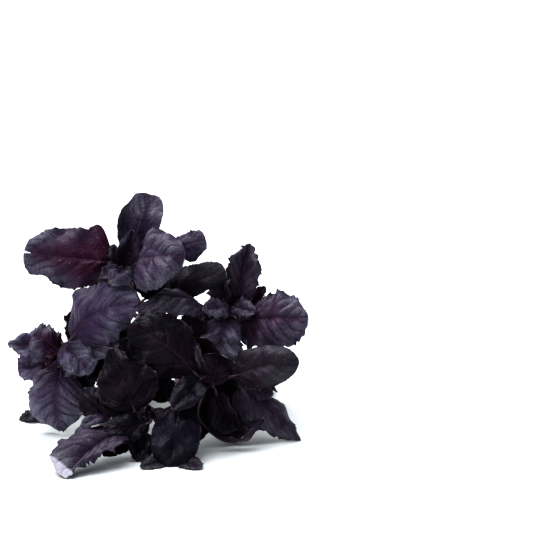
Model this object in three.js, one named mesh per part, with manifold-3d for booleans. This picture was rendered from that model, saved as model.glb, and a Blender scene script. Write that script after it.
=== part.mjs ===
// A loose bunch of cut purple basil that lies on a flat surface: six leafy stems, each one closed body.
// Millimetres, +Z up. Each stem grows from its cut end at the back to a rosette of leaves at the front.
import * as THREE from "three";
import { mergeVertices } from "three/addons/utils/BufferGeometryUtils.js";
import Module from "manifold-3d";

const wasm = await Module();
wasm.setup();

// Driving dimensions.
const BLADE_THICKNESS = 0.8;
const STEM_RADIUS_AT_CUT = 2.6; // to the corners of the square section
const STEM_RADIUS_AT_TIP = 1.5;
const STEM_SIDES = 4;
const STEM_STEPS = 6;
const STALK_SIDES = 3;
const STALK_RADIUS_AT_STEM = 1.2;
const STALK_RADIUS_AT_BLADE = 0.7;
const STALK_ROOT = 0.14; // how far along the blade its stalk runs on
const SHORT_STALK = 2; // a shorter stalk runs straight into the blade
const LONG_STALK = 12; // a longer stalk gets one more step
const BLADE_START = 0.02; // the blade's share along its midrib that is meshed
const BLADE_END = 0.99;
const MARGIN_TOOTH = 0.08; // depth of a tooth, as a share of the half width
const LEFT_HALF_WAVE_LAG = 2.1; // radians that the left margin's wave runs behind the right one's
const WAVE_STEP = 2.4; // radians by which each leaf's wave differs from the one before
const HOOK_START = 0.55; // where along the midrib a hooded tip starts to bend down
const NOTCH_REACH = 0.3; // how far from the midrib a notched tip is drawn back, in half widths
const NOTCH_ONSET = 8; // power of the place along the midrib with which the notch sets in
const FULL_RELIEF_HALF = 6; // half width from which a blade swells and buckles in full
const TANGENT_STEP = 1e-3;
const NORMAL_STEP = 1e-2;
const NORMAL_MARGIN = 0.005; // how far the normal's samples stay from the ends of the midrib
const WELD_DISTANCE = 1e-4;
const BUNCH_CENTRE = [0.33, 3.08, 0]; // middle of the bunch, in the frame that the table is laid out in
const GROUND_CUT = 20; // depth of the block that trims what reaches below the surface
const GROUND_SPAN = 300;

// Rows and columns of a blade's mesh by its width, widest first.
const BLADE_GRIDS = [
  { over: 28, columns: 8, rows: 4 },
  { over: 24, columns: 6, rows: 4 },
  { over: 12, columns: 6, rows: 2 },
  { over: 0, columns: 4, rows: 2 },
];

// Two slow waves across each blade, so that no blade is flat.
const BUCKLE_WAVES = [
  { along: 1.15, across: 0.45, lag: 1.3, share: 1 },
  { along: 0.8, across: -0.75, lag: 2.9, share: 0.6 },
];

const LEAF_COLOUR = 0x4a3c4e;
const LEAF_ROUGHNESS = 0.5;

// What a leaf has unless its row says otherwise: arch is how high the midrib rises between its ends, hook
// how far the tip bends down, sway how far the midrib bows sideways, fold the angle between half and flat
// in degrees, cup how far the margins bend up, puff the swelling of each half, buckle the height of the
// slow waves over the blade, wave the height of the margin's waves and waves their number. belly and end
// shape the outline (small numbers make it broad near the stalk, or blunt at the tip), notch draws the
// tip back at the midrib, and each of the lobes is a side (1 is the right one), a place along the midrib,
// the share by which the half is wider there, and how far along that reaches.
const PLAIN_LEAF = {
  arch: 0,
  hook: 0,
  sway: 0,
  fold: 10,
  cup: 0,
  puff: 1,
  buckle: 1,
  wave: 0.6,
  waves: 3,
  belly: 0.5,
  end: 0.6,
  notch: 0,
  lobes: [],
};

// Each stem's path from cut end to tip, and its leaves: from is the place of the stalk along the stem,
// base and tip are the ends of the midrib, and face is the way the upper side looks.
const LEAFY_STEMS = [
  {
    name: "leafy_stem_top",
    path: [[-6, 96, 1.5], [-8, 60, 27], [-14, 35, 70], [-20, 1, 87]],
    leaves: [
      { name: "left", from: 0.95, base: [-24, -1, 90.5], tip: [-70.5, -8, 97.8], face: [-0.15, -0.88, 0.45],
        width: 36, arch: 3, sway: -1.5, fold: -9, puff: 2.4, wave: 1.6, belly: 0.38, end: 0.42, notch: 0.08,
        lobes: [
          [1, 0.1, 0.55, 0.13], [-1, 0.76, -0.28, 0.12], [-1, 0.1, -0.55, 0.15], [-1, 0.5, -0.12, 0.3],
        ] },
      { name: "up", from: 0.93, base: [-15, 8, 92], tip: [-5, 14, 125], face: [-0.1, -0.95, 0.3],
        width: 23, arch: 2, hook: 5, fold: 6, puff: -2.6, cup: 2.4, wave: 0.3, belly: 0.6, end: 0.42,
        lobes: [[-1, 0.8, -0.16, 0.1]] },
      { name: "right", from: 0.95, base: [-14, -6, 89], tip: [15.5, -22, 98], face: [0.15, -0.75, 0.65],
        width: 39, arch: 7, fold: -14, puff: 2.2, wave: 2, end: 0.55, lobes: [[-1, 0.7, -0.14, 0.14]] },
      { name: "young_up", from: 0.98, base: [-18.5, -4, 90], tip: [-13.5, -6, 109.5],
        face: [0.4, -0.9, 0.1],
        width: 18, arch: 1, fold: 34, puff: 0.8, wave: 0.8, end: 0.7 },
      { name: "young_side", from: 0.97, base: [-20, -2, 91], tip: [-24, 0, 100], face: [-0.3, -0.9, 0.1],
        width: 8, arch: 1, fold: 30, puff: 0.4 },
      { name: "young_front", from: 1, base: [-19, -9, 89.5], tip: [-19.5, -19, 82], face: [0, -0.6, 0.8],
        width: 14, arch: 2, fold: -12, puff: 0.8, wave: 1.2, end: 0.35 },
      { name: "young_left", from: 0.99, base: [-20, -6, 89], tip: [-30, -11, 84], face: [-0.1, -0.6, 0.8],
        width: 9, arch: 1, fold: 14, puff: 0.5, wave: 1 },
      { name: "low_right", from: 0.8, base: [4.5, 12, 92.6], tip: [25.5, 6, 101.6], face: [0.1, -0.9, 0.45],
        width: 15, arch: 1, fold: -6, end: 0.34, lobes: [[1, 0.55, 0.22, 0.1]] },
      { name: "reach_right", from: 0.72, base: [3, 4, 76.3], tip: [36, -6, 87.3], face: [0.1, -0.98, 0.15],
        width: 19, arch: 3, sway: 1.5, fold: -24, puff: 1.6, wave: 1, belly: 0.45, end: 0.34,
        lobes: [[1, 0.7, -0.25, 0.2]] },
      { name: "under_right", from: 0.9, base: [-12, -2, 84], tip: [4, -5, 71], face: [0.2, -0.9, 0.3],
        width: 14, arch: 1, wave: 1 },
      { name: "back_left", from: 0.78, base: [-18, 28, 71], tip: [-56, 44, 79], face: [-0.2, 0.85, 0.5],
        width: 26, arch: 4, fold: -8, wave: 1.2 },
      { name: "back_up", from: 0.84, base: [-16, 22, 78], tip: [-8, 40, 104], face: [0.1, 0.9, 0.1],
        width: 20, arch: 3, wave: 1 },
      { name: "back_right", from: 0.74, base: [-11, 32, 68], tip: [16, 52, 72], face: [0.2, 0.8, 0.6],
        width: 22, arch: 4, fold: -8, wave: 1.2 },
      { name: "tail_left", from: 0.5, base: [-14, 52, 46], tip: [-40, 74, 38], face: [-0.2, 0.6, 0.8],
        width: 23, arch: 5, fold: -8, wave: 1.2 },
      { name: "tail_right", from: 0.52, base: [-8, 52, 48], tip: [14, 80, 42], face: [0.2, 0.6, 0.8],
        width: 22, arch: 5, fold: -8, wave: 1.2 },
      { name: "side_left", from: 0.62, base: [-15, 40, 60], tip: [-44, 34, 56], face: [-0.2, 0.3, 0.95],
        width: 20, arch: 4, fold: -8, wave: 1 },
      { name: "side_right", from: 0.6, base: [-9, 42, 60], tip: [19, 40, 56], face: [0.2, 0.3, 0.95],
        width: 20, arch: 4, fold: -8, wave: 1 },
    ],
  },
  {
    name: "leafy_stem_right",
    path: [[18, 98, 1.5], [24, 60, 20], [40, 30, 48], [41, 0, 65]],
    leaves: [
      { name: "up", from: 0.95, base: [42, 3, 66], tip: [49, 12, 98], face: [-0.1, -0.95, 0.3],
        width: 20.5, arch: 2, fold: 22, puff: 1.2, end: 0.75, wave: 0.9,
        lobes: [[-1, 0.72, 0.16, 0.06], [1, 0.62, 0.12, 0.06], [-1, 0.93, 0.4, 0.02]] },
      { name: "right", from: 0.95, base: [47, -3, 60], tip: [80, -14, 63], face: [0.05, -0.85, 0.5],
        width: 33, arch: 4, sway: 1.5, fold: -13, puff: 2.6, wave: 2.4, end: 0.5,
        lobes: [[1, 0.06, 0.95, 0.1], [-1, 0.85, 0.16, 0.1]] },
      { name: "young_left", from: 0.98, base: [40, -5, 66], tip: [24, -12, 67], face: [-0.1, -0.7, 0.7],
        width: 14, arch: 2, fold: -10, wave: 1.4, waves: 4 },
      { name: "young_front", from: 1, base: [40, -5, 67], tip: [52, -12, 65], face: [0.1, -0.7, 0.7],
        width: 12, arch: 1, wave: 1.2 },
      { name: "down", from: 0.96, base: [37, -6, 63], tip: [31, -17, 39], face: [-0.05, -0.8, 0.55],
        width: 23, arch: 3, fold: -14, wave: 1.8, belly: 0.3, end: 0.2, lobes: [[1, 0.4, -0.12, 0.15]] },
      { name: "young_up", from: 0.97, base: [37, -1, 67], tip: [33, 5, 87], face: [-0.5, -0.8, 0.2],
        width: 16, arch: 1, fold: 30, wave: 1 },
      { name: "young_back", from: 0.95, base: [47, 4, 66], tip: [57.5, 8, 75], face: [0.3, -0.8, 0.4],
        width: 7, arch: 1, fold: 20 },
      { name: "over", from: 0.84, base: [24, -5, 67.5], tip: [-10, -25, 70], face: [-0.05, -0.45, 0.88],
        width: 24, arch: 7.5, fold: -20, puff: 1.4, wave: 1.2, belly: 0.35 },
      { name: "under", from: 0.84, base: [24.5, -1, 64], tip: [17, -9, 47], face: [0.1, -0.95, 0.2],
        width: 19, arch: 1.5, fold: -6, wave: 1, belly: 0.35, end: 0.4 },
      { name: "inner", from: 0.88, base: [34, 0, 60], tip: [26, -6, 42], face: [0.1, -0.95, 0.2],
        width: 18, arch: 1.5, wave: 1 },
      { name: "low_right", from: 0.9, base: [44, -2, 58], tip: [51, -8, 46], face: [0.1, -0.95, 0.2],
        width: 10, arch: 1, wave: 1 },
      { name: "back_right", from: 0.76, base: [38, 26, 49], tip: [66, 46, 52], face: [0.2, 0.8, 0.5],
        width: 22, arch: 4, fold: -8, wave: 1.2 },
      { name: "back_up", from: 0.8, base: [38, 24, 53], tip: [50, 46, 72], face: [0.2, 0.9, 0.3],
        width: 18, arch: 3, fold: 8, wave: 1 },
      { name: "back_left", from: 0.7, base: [34, 32, 46], tip: [12, 56, 46], face: [-0.3, 0.6, 0.8],
        width: 17, arch: 4, fold: -8, wave: 1 },
      { name: "tail", from: 0.42, base: [29, 60, 24], tip: [54, 80, 8], face: [0.2, 0.5, 0.9],
        width: 22, arch: 5, fold: -8, wave: 1.2 },
      { name: "side_right", from: 0.62, base: [37, 42, 42], tip: [66, 36, 34], face: [0.4, 0.2, 0.9],
        width: 20, arch: 4, fold: -8, wave: 1.2 },
    ],
  },
  {
    name: "leafy_stem_left",
    path: [[-30, 92, 1.5], [-38, 60, 10], [-48, 25, 32], [-51, -5, 44]],
    leaves: [
      { name: "left", from: 0.97, base: [-53, -10, 45], tip: [-79.5, -16, 49.5], face: [-0.1, -0.75, 0.65],
        width: 20, arch: 2, fold: -10, puff: 1.4, wave: 1.6, end: 0.8 },
      { name: "blush", from: 0.97, base: [-51, -13, 44], tip: [-66, -15, 54.5], face: [-0.1, -0.75, 0.65],
        width: 19, arch: 1.5, fold: -12, puff: 1.4, wave: 1.4, end: 0.3 },
      { name: "down", from: 0.94, base: [-51, -14, 36], tip: [-52, -17, 2], face: [-0.1, -0.8, 0.6],
        width: 36, arch: 6, sway: 2, fold: -22, puff: 2.8, wave: 2.2, end: 0.46, notch: 0.03,
        lobes: [[1, 0.1, 0.4, 0.12], [-1, 0.82, 0.6, 0.15]] },
      { name: "young_right", from: 0.99, base: [-50.5, -12, 48.5], tip: [-34.5, -21, 35],
        face: [0.1, -0.8, 0.6],
        width: 20, arch: 1.5, fold: -8, wave: 1.2 },
      { name: "behind", from: 0.9, base: [-58, -5, 36], tip: [-76, -4, 32], face: [-0.1, -0.9, 0.4],
        width: 15, arch: 1, fold: 6, wave: 1, end: 0.4 },
      { name: "heart", from: 1, base: [-51, -12, 44], tip: [-58, -20, 36], face: [-0.1, -0.8, 0.5],
        width: 9, arch: 1, fold: 25, wave: 0.8 },
      { name: "olive", from: 0.88, base: [-44, -4, 36], tip: [-38, -10, 17], face: [0.2, -0.95, 0.2],
        width: 14, arch: 1, fold: 6, wave: 1 },
      { name: "floor", from: 0.6, base: [-54, 10, 3], tip: [-77, 6, 0], face: [-0.1, -0.3, 0.95],
        width: 14, arch: 2, fold: 12, wave: 1.4 },
      { name: "big_up", from: 0.92, base: [-46, -10, 51], tip: [-9, -20, 73], face: [-0.35, -0.88, 0.35],
        width: 36, arch: 4, sway: -4.5, fold: -20, puff: 2.8, wave: 2.2, belly: 0.4, end: 0.55,
        lobes: [[-1, 0.06, -0.15, 0.06], [-1, 0.27, 0.24, 0.14]] },
      { name: "under", from: 0.9, base: [-46, -1, 41], tip: [-13, -13, 56], face: [0.15, -0.75, 0.6],
        width: 26, arch: 2, wave: 1 },
      { name: "inner", from: 0.86, base: [-42, -2, 44], tip: [-28, -4, 26], face: [0.1, -0.95, 0.2],
        width: 17, arch: 1, wave: 1 },
      { name: "back_left", from: 0.74, base: [-48, 22, 34], tip: [-75, 38, 36], face: [-0.3, 0.8, 0.5],
        width: 18, arch: 3, fold: -6, wave: 1 },
      { name: "back_up", from: 0.76, base: [-47, 22, 37], tip: [-42, 46, 54], face: [0, 0.9, 0.4],
        width: 20, arch: 4, fold: -6, wave: 1 },
      { name: "back_right", from: 0.66, base: [-43, 28, 29], tip: [-22, 46, 28], face: [0.3, 0.7, 0.6],
        width: 18, arch: 3, fold: -6, wave: 1 },
      { name: "tail", from: 0.4, base: [-42, 50, 15], tip: [-68, 66, 3], face: [-0.3, 0.2, 0.95],
        width: 22, arch: 5, fold: -6, wave: 1.2 },
      { name: "side_left", from: 0.56, base: [-46, 38, 22], tip: [-68, 32, 14], face: [-0.3, 0.2, 0.9],
        width: 18, arch: 3, fold: -8, wave: 1 },
    ],
  },
  {
    name: "leafy_stem_front_right",
    path: [[32, 88, 1.5], [36, 50, 8], [32, 5, 26], [28, -34, 36]],
    leaves: [
      { name: "big_left", from: 0.95, base: [21, -40, 40], tip: [-12.5, -40, 66], face: [-0.2, -0.85, 0.45],
        width: 33, arch: 4, sway: 2, fold: -14, puff: 2.2, wave: 2.4, end: 0.42 },
      { name: "low_left", from: 0.98, base: [24, -43, 38], tip: [10, -65, 28], face: [-0.1, -0.9, 0.3],
        width: 15, arch: 1, fold: 4, end: 0.7 },
      { name: "cup", from: 0.97, base: [30, -38, 33], tip: [34, -42, 53], face: [0.1, -0.95, 0.2],
        width: 19, arch: -2, hook: -3, fold: 14, end: 0.32 },
      { name: "right", from: 0.92, base: [40, -32, 36], tip: [75, -34, 44.5], face: [0.1, -0.9, 0.35],
        width: 23, arch: 3, sway: -1.5, fold: -16, puff: 2.2, wave: 1, end: 0.5,
        lobes: [[-1, 0.2, 0.18, 0.12]] },
      { name: "spoon", from: 0.97, base: [32, -38, 28], tip: [42.5, -46, 11.5], face: [-0.5, -0.8, 0.2],
        width: 19, arch: 2, fold: 28, end: 0.5 },
      { name: "bowl", from: 0.9, base: [37, -20, 18], tip: [41, -38, 2.5], face: [0, -0.35, 0.9],
        width: 36, arch: -3, fold: 24, end: 0.35, wave: 0.9 },
      { name: "drape", from: 0.88, base: [42, -24, 29], tip: [76, -30, 0], face: [0.35, -0.65, 0.7],
        width: 30, arch: 4, sway: -1, fold: -32, puff: 1.6, belly: 0.38, end: 0.8, wave: 1,
        lobes: [[-1, 0.5, -0.15, 0.3]] },
      { name: "curl", from: 0.95, base: [25, -44, 13.5], tip: [56.5, -42, 17.6], face: [0, -0.1, 1],
        width: 7, arch: -11, sway: 4, fold: 20, puff: 0.5, wave: 0.8 },
      { name: "sliver", from: 0.99, base: [26, -38, 38], tip: [22, -44, 56], face: [-0.3, -0.9, 0.1],
        width: 5, arch: 0.5, fold: 20 },
      { name: "back_right", from: 0.66, base: [34, 12, 24], tip: [64, 28, 22], face: [0.3, 0.7, 0.6],
        width: 18, arch: 3, fold: -6, wave: 1 },
      { name: "low_mid", from: 0.8, base: [24, -27, 30], tip: [19, -42, 3], face: [0.1, -0.9, 0.35],
        width: 20, arch: 1.5, fold: 6, wave: 1 },
      { name: "under_right", from: 0.78, base: [44, -20, 30], tip: [61, -30, 25], face: [0.1, -0.8, 0.5],
        width: 15, arch: 1, fold: -8, wave: 1 },
      { name: "inner_top", from: 0.88, base: [27, -22, 22], tip: [38, -22, 42], face: [0.1, -0.9, 0.3],
        width: 23, arch: 1, wave: 1 },
      { name: "inner", from: 0.8, base: [40, -20, 24], tip: [58, -26, 6], face: [0.2, -0.8, 0.5],
        width: 20, arch: 1, fold: 4, wave: 1 },
      { name: "behind_cup", from: 0.9, base: [26, -28, 34], tip: [23, -27, 56], face: [-0.1, -0.95, 0.2],
        width: 20, arch: 1, fold: 6, wave: 0.8 },
      { name: "tail", from: 0.3, base: [37, 52, 9], tip: [62, 62, 3], face: [0.3, 0.1, 0.95],
        width: 20, arch: 4, fold: -6, wave: 1.2 },
      { name: "side_right", from: 0.48, base: [37, 30, 17], tip: [64, 42, 6], face: [0.3, 0.3, 0.9],
        width: 20, arch: 4, fold: -6, wave: 1 },
    ],
  },
  {
    name: "leafy_stem_front_left",
    path: [[-18, 90, 1.5], [-16, 50, 6], [-8, 0, 12], [-3, -50, 22]],
    leaves: [
      { name: "tall", from: 0.96, base: [-10, -52, 23], tip: [-23, -48, 56], face: [-0.15, -0.95, 0.3],
        width: 32, arch: 3, sway: 1, fold: -13, puff: 2, wave: 2.2, end: 0.9,
        lobes: [[1, 0.75, -0.3, 0.12], [1, 0.4, 0.1, 0.1]] },
      { name: "reach", from: 0.94, base: [-18, -59, 14], tip: [-43.5, -92, 0.8], face: [-0.45, -0.8, 0.4],
        width: 32, arch: 3, fold: 8, puff: 1.8, wave: 1.8, belly: 0.42, end: 0.5,
        lobes: [[1, 0.85, 0.3, 0.15], [-1, 0.5, -0.5, 0.3], [-1, 0.85, -0.75, 0.2]] },
      { name: "rim", from: 0.93, base: [-24, -52, 19], tip: [-38, -60, 16], face: [-0.2, -0.5, 0.85],
        width: 9, arch: 4, fold: -14, wave: 0.3 },
      { name: "dark", from: 0.98, base: [-3, -56, 18], tip: [-26, -64, 15], face: [-0.1, -0.9, 0.45],
        width: 16, arch: 1.5, fold: -8, wave: 1 },
      { name: "dark_low", from: 0.99, base: [-4, -54, 12], tip: [-9, -66, 1], face: [0, -0.9, 0.4],
        width: 13, arch: 1, fold: 8, wave: 1 },
      { name: "dark_left", from: 0.97, base: [-7, -50, 14], tip: [-26, -64, 3], face: [-0.1, -0.85, 0.5],
        width: 12, arch: 1, fold: 6, wave: 1 },
      { name: "inner", from: 0.9, base: [-12, -40, 16], tip: [-24, -36, 36], face: [-0.2, -0.9, 0.3],
        width: 20, arch: 1.5, wave: 1 },
      { name: "back", from: 0.85, base: [-25, -38, 14], tip: [-38, -30, 29], face: [-0.2, -0.9, 0.3],
        width: 18, arch: 2, fold: -6, wave: 1 },
      { name: "tail", from: 0.5, base: [-13, 24, 11], tip: [-40, 36, 7], face: [-0.3, 0.2, 0.95],
        width: 20, arch: 4, fold: -6, wave: 1 },
      { name: "side_left", from: 0.7, base: [-11, -6, 13], tip: [-36, 2, 5], face: [-0.2, -0.3, 0.95],
        width: 20, arch: 3, fold: -6, wave: 1 },
      { name: "side_right", from: 0.78, base: [-2, -18, 14], tip: [13, -26, 5], face: [0.2, -0.3, 0.95],
        width: 15, arch: 2, fold: -6, wave: 1 },
    ],
  },
  {
    name: "leafy_stem_middle",
    path: [[6, 90, 1.5], [8, 50, 10], [10, 0, 30], [11, -47, 28]],
    leaves: [
      { name: "fall", from: 0.97, base: [12, -52, 27], tip: [8, -74, -1], face: [0, -0.9, 0.45],
        width: 26, arch: 4, hook: 2, sway: -1.5, fold: -16, puff: 1.8, wave: 1.4, belly: 0.3, end: 0.33 },
      { name: "floor_left", from: 0.95, base: [8, -66, 1], tip: [-6, -77, 1], face: [0, -0.4, 0.9],
        width: 11, arch: 0.5, fold: 4, buckle: 0.3 },
      { name: "floor_right", from: 0.95, base: [13, -66, 0], tip: [25, -78, 1], face: [0, -0.4, 0.9],
        width: 12, arch: 0.5, fold: 4, buckle: 0.3 },
      { name: "deep_left", from: 0.8, base: [2, -26, 26], tip: [-18, -24, 54], face: [-0.2, -0.9, 0.3],
        width: 23.5, arch: 2, fold: -6, wave: 1 },
      { name: "deep_mid", from: 0.9, base: [7, -39, 25], tip: [-3, -33, 40], face: [-0.2, -0.9, 0.2],
        width: 16, arch: 1, fold: 8, wave: 1 },
      { name: "tail", from: 0.45, base: [10, 38, 18], tip: [16, 62, 12], face: [0.2, 0.2, 0.95],
        width: 16, arch: 3, fold: -6 },
      { name: "side_right", from: 0.68, base: [13, 4, 26], tip: [27, -6, 14], face: [0.2, -0.3, 0.9],
        width: 15, arch: 2, fold: -6 },
    ],
  },
];

const vector = (xyz) => new THREE.Vector3(...xyz);

// The curved middle surface of one leaf. t runs along the midrib from stalk to tip, and v runs across it
// from -1 at the left margin to 1 at the right one.
class LeafSurface {
  constructor(row, index) {
    Object.assign(this, PLAIN_LEAF, row);
    this.phase = index * WAVE_STEP;
    this.start = vector(row.base);
    this.along = vector(row.tip).sub(this.start);
    this.length = this.along.length();
    this.along.normalize();
    this.up = vector(row.face);
    this.up.addScaledVector(this.along, -this.up.dot(this.along)).normalize();
    this.side = new THREE.Vector3().crossVectors(this.along, this.up);
  }

  midrib(t) {
    const bow = 4 * t * (1 - t);
    const late = Math.max(0, (t - HOOK_START) / (1 - HOOK_START));
    return this.start
      .clone()
      .addScaledVector(this.along, this.length * t)
      .addScaledVector(this.up, this.arch * bow - this.hook * late ** 2)
      .addScaledVector(this.side, this.sway * bow);
  }

  halfWidth(t, v) {
    const widest = this.belly / (this.belly + this.end);
    const shape = (s) => s ** this.belly * (1 - s) ** this.end;
    const plain = ((this.width / 2) * shape(t)) / shape(widest);
    const onSide = this.lobes.filter(([side]) => side === Math.sign(v));
    return onSide.reduce((half, [, place, rise, reach]) => {
      return half * (1 + rise * Math.exp(-(((t - place) / reach) ** 2)));
    }, plain);
  }

  buckling(t, v) {
    const heights = BUCKLE_WAVES.map(({ along, across, lag, share }) => {
      return share * Math.sin(2 * Math.PI * (along * t + across * v) + lag * this.phase);
    });
    return heights.reduce((sum, height) => sum + height);
  }

  point(t, v) {
    const place = t - this.notch * Math.exp(-((v / NOTCH_REACH) ** 2)) * t ** NOTCH_ONSET;
    const tangent = this.midrib(place + TANGENT_STEP).sub(this.midrib(place - TANGENT_STEP)).normalize();
    const normal = this.up.clone().addScaledVector(tangent, -this.up.dot(tangent)).normalize();
    const across = new THREE.Vector3().crossVectors(tangent, normal);
    const share = Math.abs(v);
    const half = this.halfWidth(t, v);
    const fold = THREE.MathUtils.degToRad(this.fold);
    const swell = Math.sin(Math.PI * t);
    const relief = Math.min(1, half / FULL_RELIEF_HALF);
    const lag = v < 0 ? LEFT_HALF_WAVE_LAG : 0;
    const ripple = Math.sin(2 * Math.PI * this.waves * t + this.phase + lag);
    const height =
      share * half * Math.sin(fold) +
      this.puff * Math.sin(Math.PI * share) * swell * relief +
      this.buckle * this.buckling(t, v) * swell * relief +
      (this.wave * ripple + this.cup) * share ** 2 * swell;
    return this.midrib(place)
      .addScaledVector(across, v * half * Math.cos(fold))
      .addScaledVector(normal, height);
  }

  normal(t, v) {
    const ahead = Math.min(t + NORMAL_STEP, 1 - NORMAL_MARGIN);
    const behind = Math.max(t - NORMAL_STEP, NORMAL_MARGIN);
    const lengthwise = this.point(ahead, v).sub(this.point(behind, v));
    const crosswise = this.point(t, v + NORMAL_STEP).sub(this.point(t, v - NORMAL_STEP));
    return lengthwise.cross(crosswise).normalize();
  }
}

function solidFrom(geometry) {
  geometry.deleteAttribute("normal");
  geometry.deleteAttribute("uv");
  const merged = mergeVertices(geometry, WELD_DISTANCE);
  const vertProperties = Float32Array.from(merged.attributes.position.array);
  const triVerts = Uint32Array.from(merged.index.array);
  const solid = new wasm.Manifold(new wasm.Mesh({ numProp: 3, vertProperties, triVerts }));
  if (solid.volume() > 0) return solid;
  for (let i = 0; i < triVerts.length; i += 3) {
    [triVerts[i], triVerts[i + 1]] = [triVerts[i + 1], triVerts[i]];
  }
  return new wasm.Manifold(new wasm.Mesh({ numProp: 3, vertProperties, triVerts }));
}

// A blade is the leaf's middle surface thickened to both sides, with a saw-toothed margin: every second
// column of its mesh stands out. Both faces are split into triangles alike.
function bladeSolid(leaf) {
  const { columns, rows } = BLADE_GRIDS.find((grid) => leaf.width >= grid.over);
  const corners = [];
  const faces = [];
  for (const side of [1, -1]) {
    for (let i = 0; i <= columns; i++) {
      const t = BLADE_START + ((BLADE_END - BLADE_START) * i) / columns;
      const atEnd = i === 0 || i === columns;
      const tooth = atEnd ? 0 : (i % 2 ? 1 : -1) * MARGIN_TOOTH;
      for (let j = 0; j <= rows; j++) {
        const v = (2 * j) / rows - 1;
        const onMargin = j === 0 || j === rows;
        const point = leaf.point(t, onMargin ? v * (1 + tooth) : v);
        point.addScaledVector(leaf.normal(t, v), (side * BLADE_THICKNESS) / 2);
        corners.push(point.x, point.y, point.z);
      }
    }
  }
  const at = (i, j) => i * (rows + 1) + j;
  const under = (columns + 1) * (rows + 1);
  for (let i = 0; i < columns; i++) {
    for (let j = 0; j < rows; j++) {
      const [a, b, c, d] = [at(i, j), at(i + 1, j), at(i + 1, j + 1), at(i, j + 1)];
      faces.push(a, b, c, a, c, d);
      faces.push(under + a, under + c, under + b, under + a, under + d, under + c);
    }
  }
  const rim = [];
  for (let i = 0; i < columns; i++) rim.push(at(i, 0));
  for (let j = 0; j < rows; j++) rim.push(at(columns, j));
  for (let i = columns; i > 0; i--) rim.push(at(i, rows));
  for (let j = rows; j > 0; j--) rim.push(at(0, j));
  rim.forEach((a, k) => {
    const b = rim[(k + 1) % rim.length];
    faces.push(b, a, under + a, b, under + a, under + b);
  });
  const geometry = new THREE.BufferGeometry();
  geometry.setAttribute("position", new THREE.Float32BufferAttribute(corners, 3));
  geometry.setIndex(faces);
  return solidFrom(geometry);
}

// A rod of a few sides along a curve, thinner towards its far end.
function rodSolid(curve, sides, steps, radiusFrom, radiusTo) {
  const section = new THREE.Shape();
  for (let k = 0; k < sides; k++) {
    const angle = (2 * Math.PI * (k + 0.5)) / sides;
    section[k ? "lineTo" : "moveTo"](radiusFrom * Math.cos(angle), radiusFrom * Math.sin(angle));
  }
  section.closePath();
  const geometry = new THREE.ExtrudeGeometry(section, { extrudePath: curve, steps, curveSegments: 1 });
  const centres = curve.getSpacedPoints(steps);
  const position = geometry.attributes.position;
  const corner = new THREE.Vector3();
  for (let i = 0; i < position.count; i++) {
    corner.fromBufferAttribute(position, i);
    const distances = centres.map((centre) => centre.distanceTo(corner));
    const ring = distances.indexOf(Math.min(...distances));
    const radius = THREE.MathUtils.lerp(radiusFrom, radiusTo, ring / steps);
    corner.sub(centres[ring]).multiplyScalar(radius / radiusFrom).add(centres[ring]);
    position.setXYZ(i, corner.x, corner.y, corner.z);
  }
  return solidFrom(geometry);
}

// A stalk runs from inside the stem to the blade, and on along the midrib so that it roots in the blade.
function stalkSolid(stemCurve, leaf) {
  const root = stemCurve.getPoint(leaf.from);
  const reach = root.distanceTo(leaf.start);
  const knots = reach > SHORT_STALK ? [root, leaf.start] : [root];
  if (reach > LONG_STALK) knots.splice(1, 0, root.clone().lerp(leaf.start, 0.5));
  knots.push(leaf.midrib(STALK_ROOT));
  const curve = new THREE.CatmullRomCurve3(knots, false, "centripetal");
  return rodSolid(curve, STALK_SIDES, knots.length, STALK_RADIUS_AT_STEM, STALK_RADIUS_AT_BLADE);
}

function belowGround() {
  const block = new THREE.BoxGeometry(GROUND_SPAN, GROUND_SPAN, GROUND_CUT);
  block.translate(0, 0, -GROUND_CUT / 2);
  return solidFrom(block);
}

// One leafy stem: the stem, its stalks and its blades joined in one body and trimmed flat at the surface.
function leafyStemGeometry({ path, leaves }) {
  const stemCurve = new THREE.CubicBezierCurve3(...path.map(vector));
  let solid = rodSolid(stemCurve, STEM_SIDES, STEM_STEPS, STEM_RADIUS_AT_CUT, STEM_RADIUS_AT_TIP);
  leaves.forEach((row, index) => {
    const leaf = new LeafSurface(row, index);
    solid = solid.add(stalkSolid(stemCurve, leaf)).add(bladeSolid(leaf));
  });
  const trimmed = solid.subtract(belowGround()).getMesh();
  const geometry = new THREE.BufferGeometry();
  geometry.setAttribute("position", new THREE.BufferAttribute(trimmed.vertProperties, 3));
  geometry.setIndex(new THREE.BufferAttribute(trimmed.triVerts, 1));
  geometry.computeVertexNormals();
  return geometry;
}

const bunch = new THREE.Group();
bunch.name = "purple_basil_bunch";
bunch.position.set(...BUNCH_CENTRE).negate();
for (const leafyStem of LEAFY_STEMS) {
  const material = new THREE.MeshStandardMaterial({ color: LEAF_COLOUR, roughness: LEAF_ROUGHNESS });
  const mesh = new THREE.Mesh(leafyStemGeometry(leafyStem), material);
  mesh.name = leafyStem.name;
  bunch.add(mesh);
}

export default bunch;
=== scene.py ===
"""A loose bunch of cut purple basil: its leaves, its stems with their stalks, and a plain studio round it.

Leaves and stems are laid out in millimetres, +Z up, each stem running from its cut end at the back to a
rosette at the front. to_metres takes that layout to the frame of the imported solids.
"""

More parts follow.
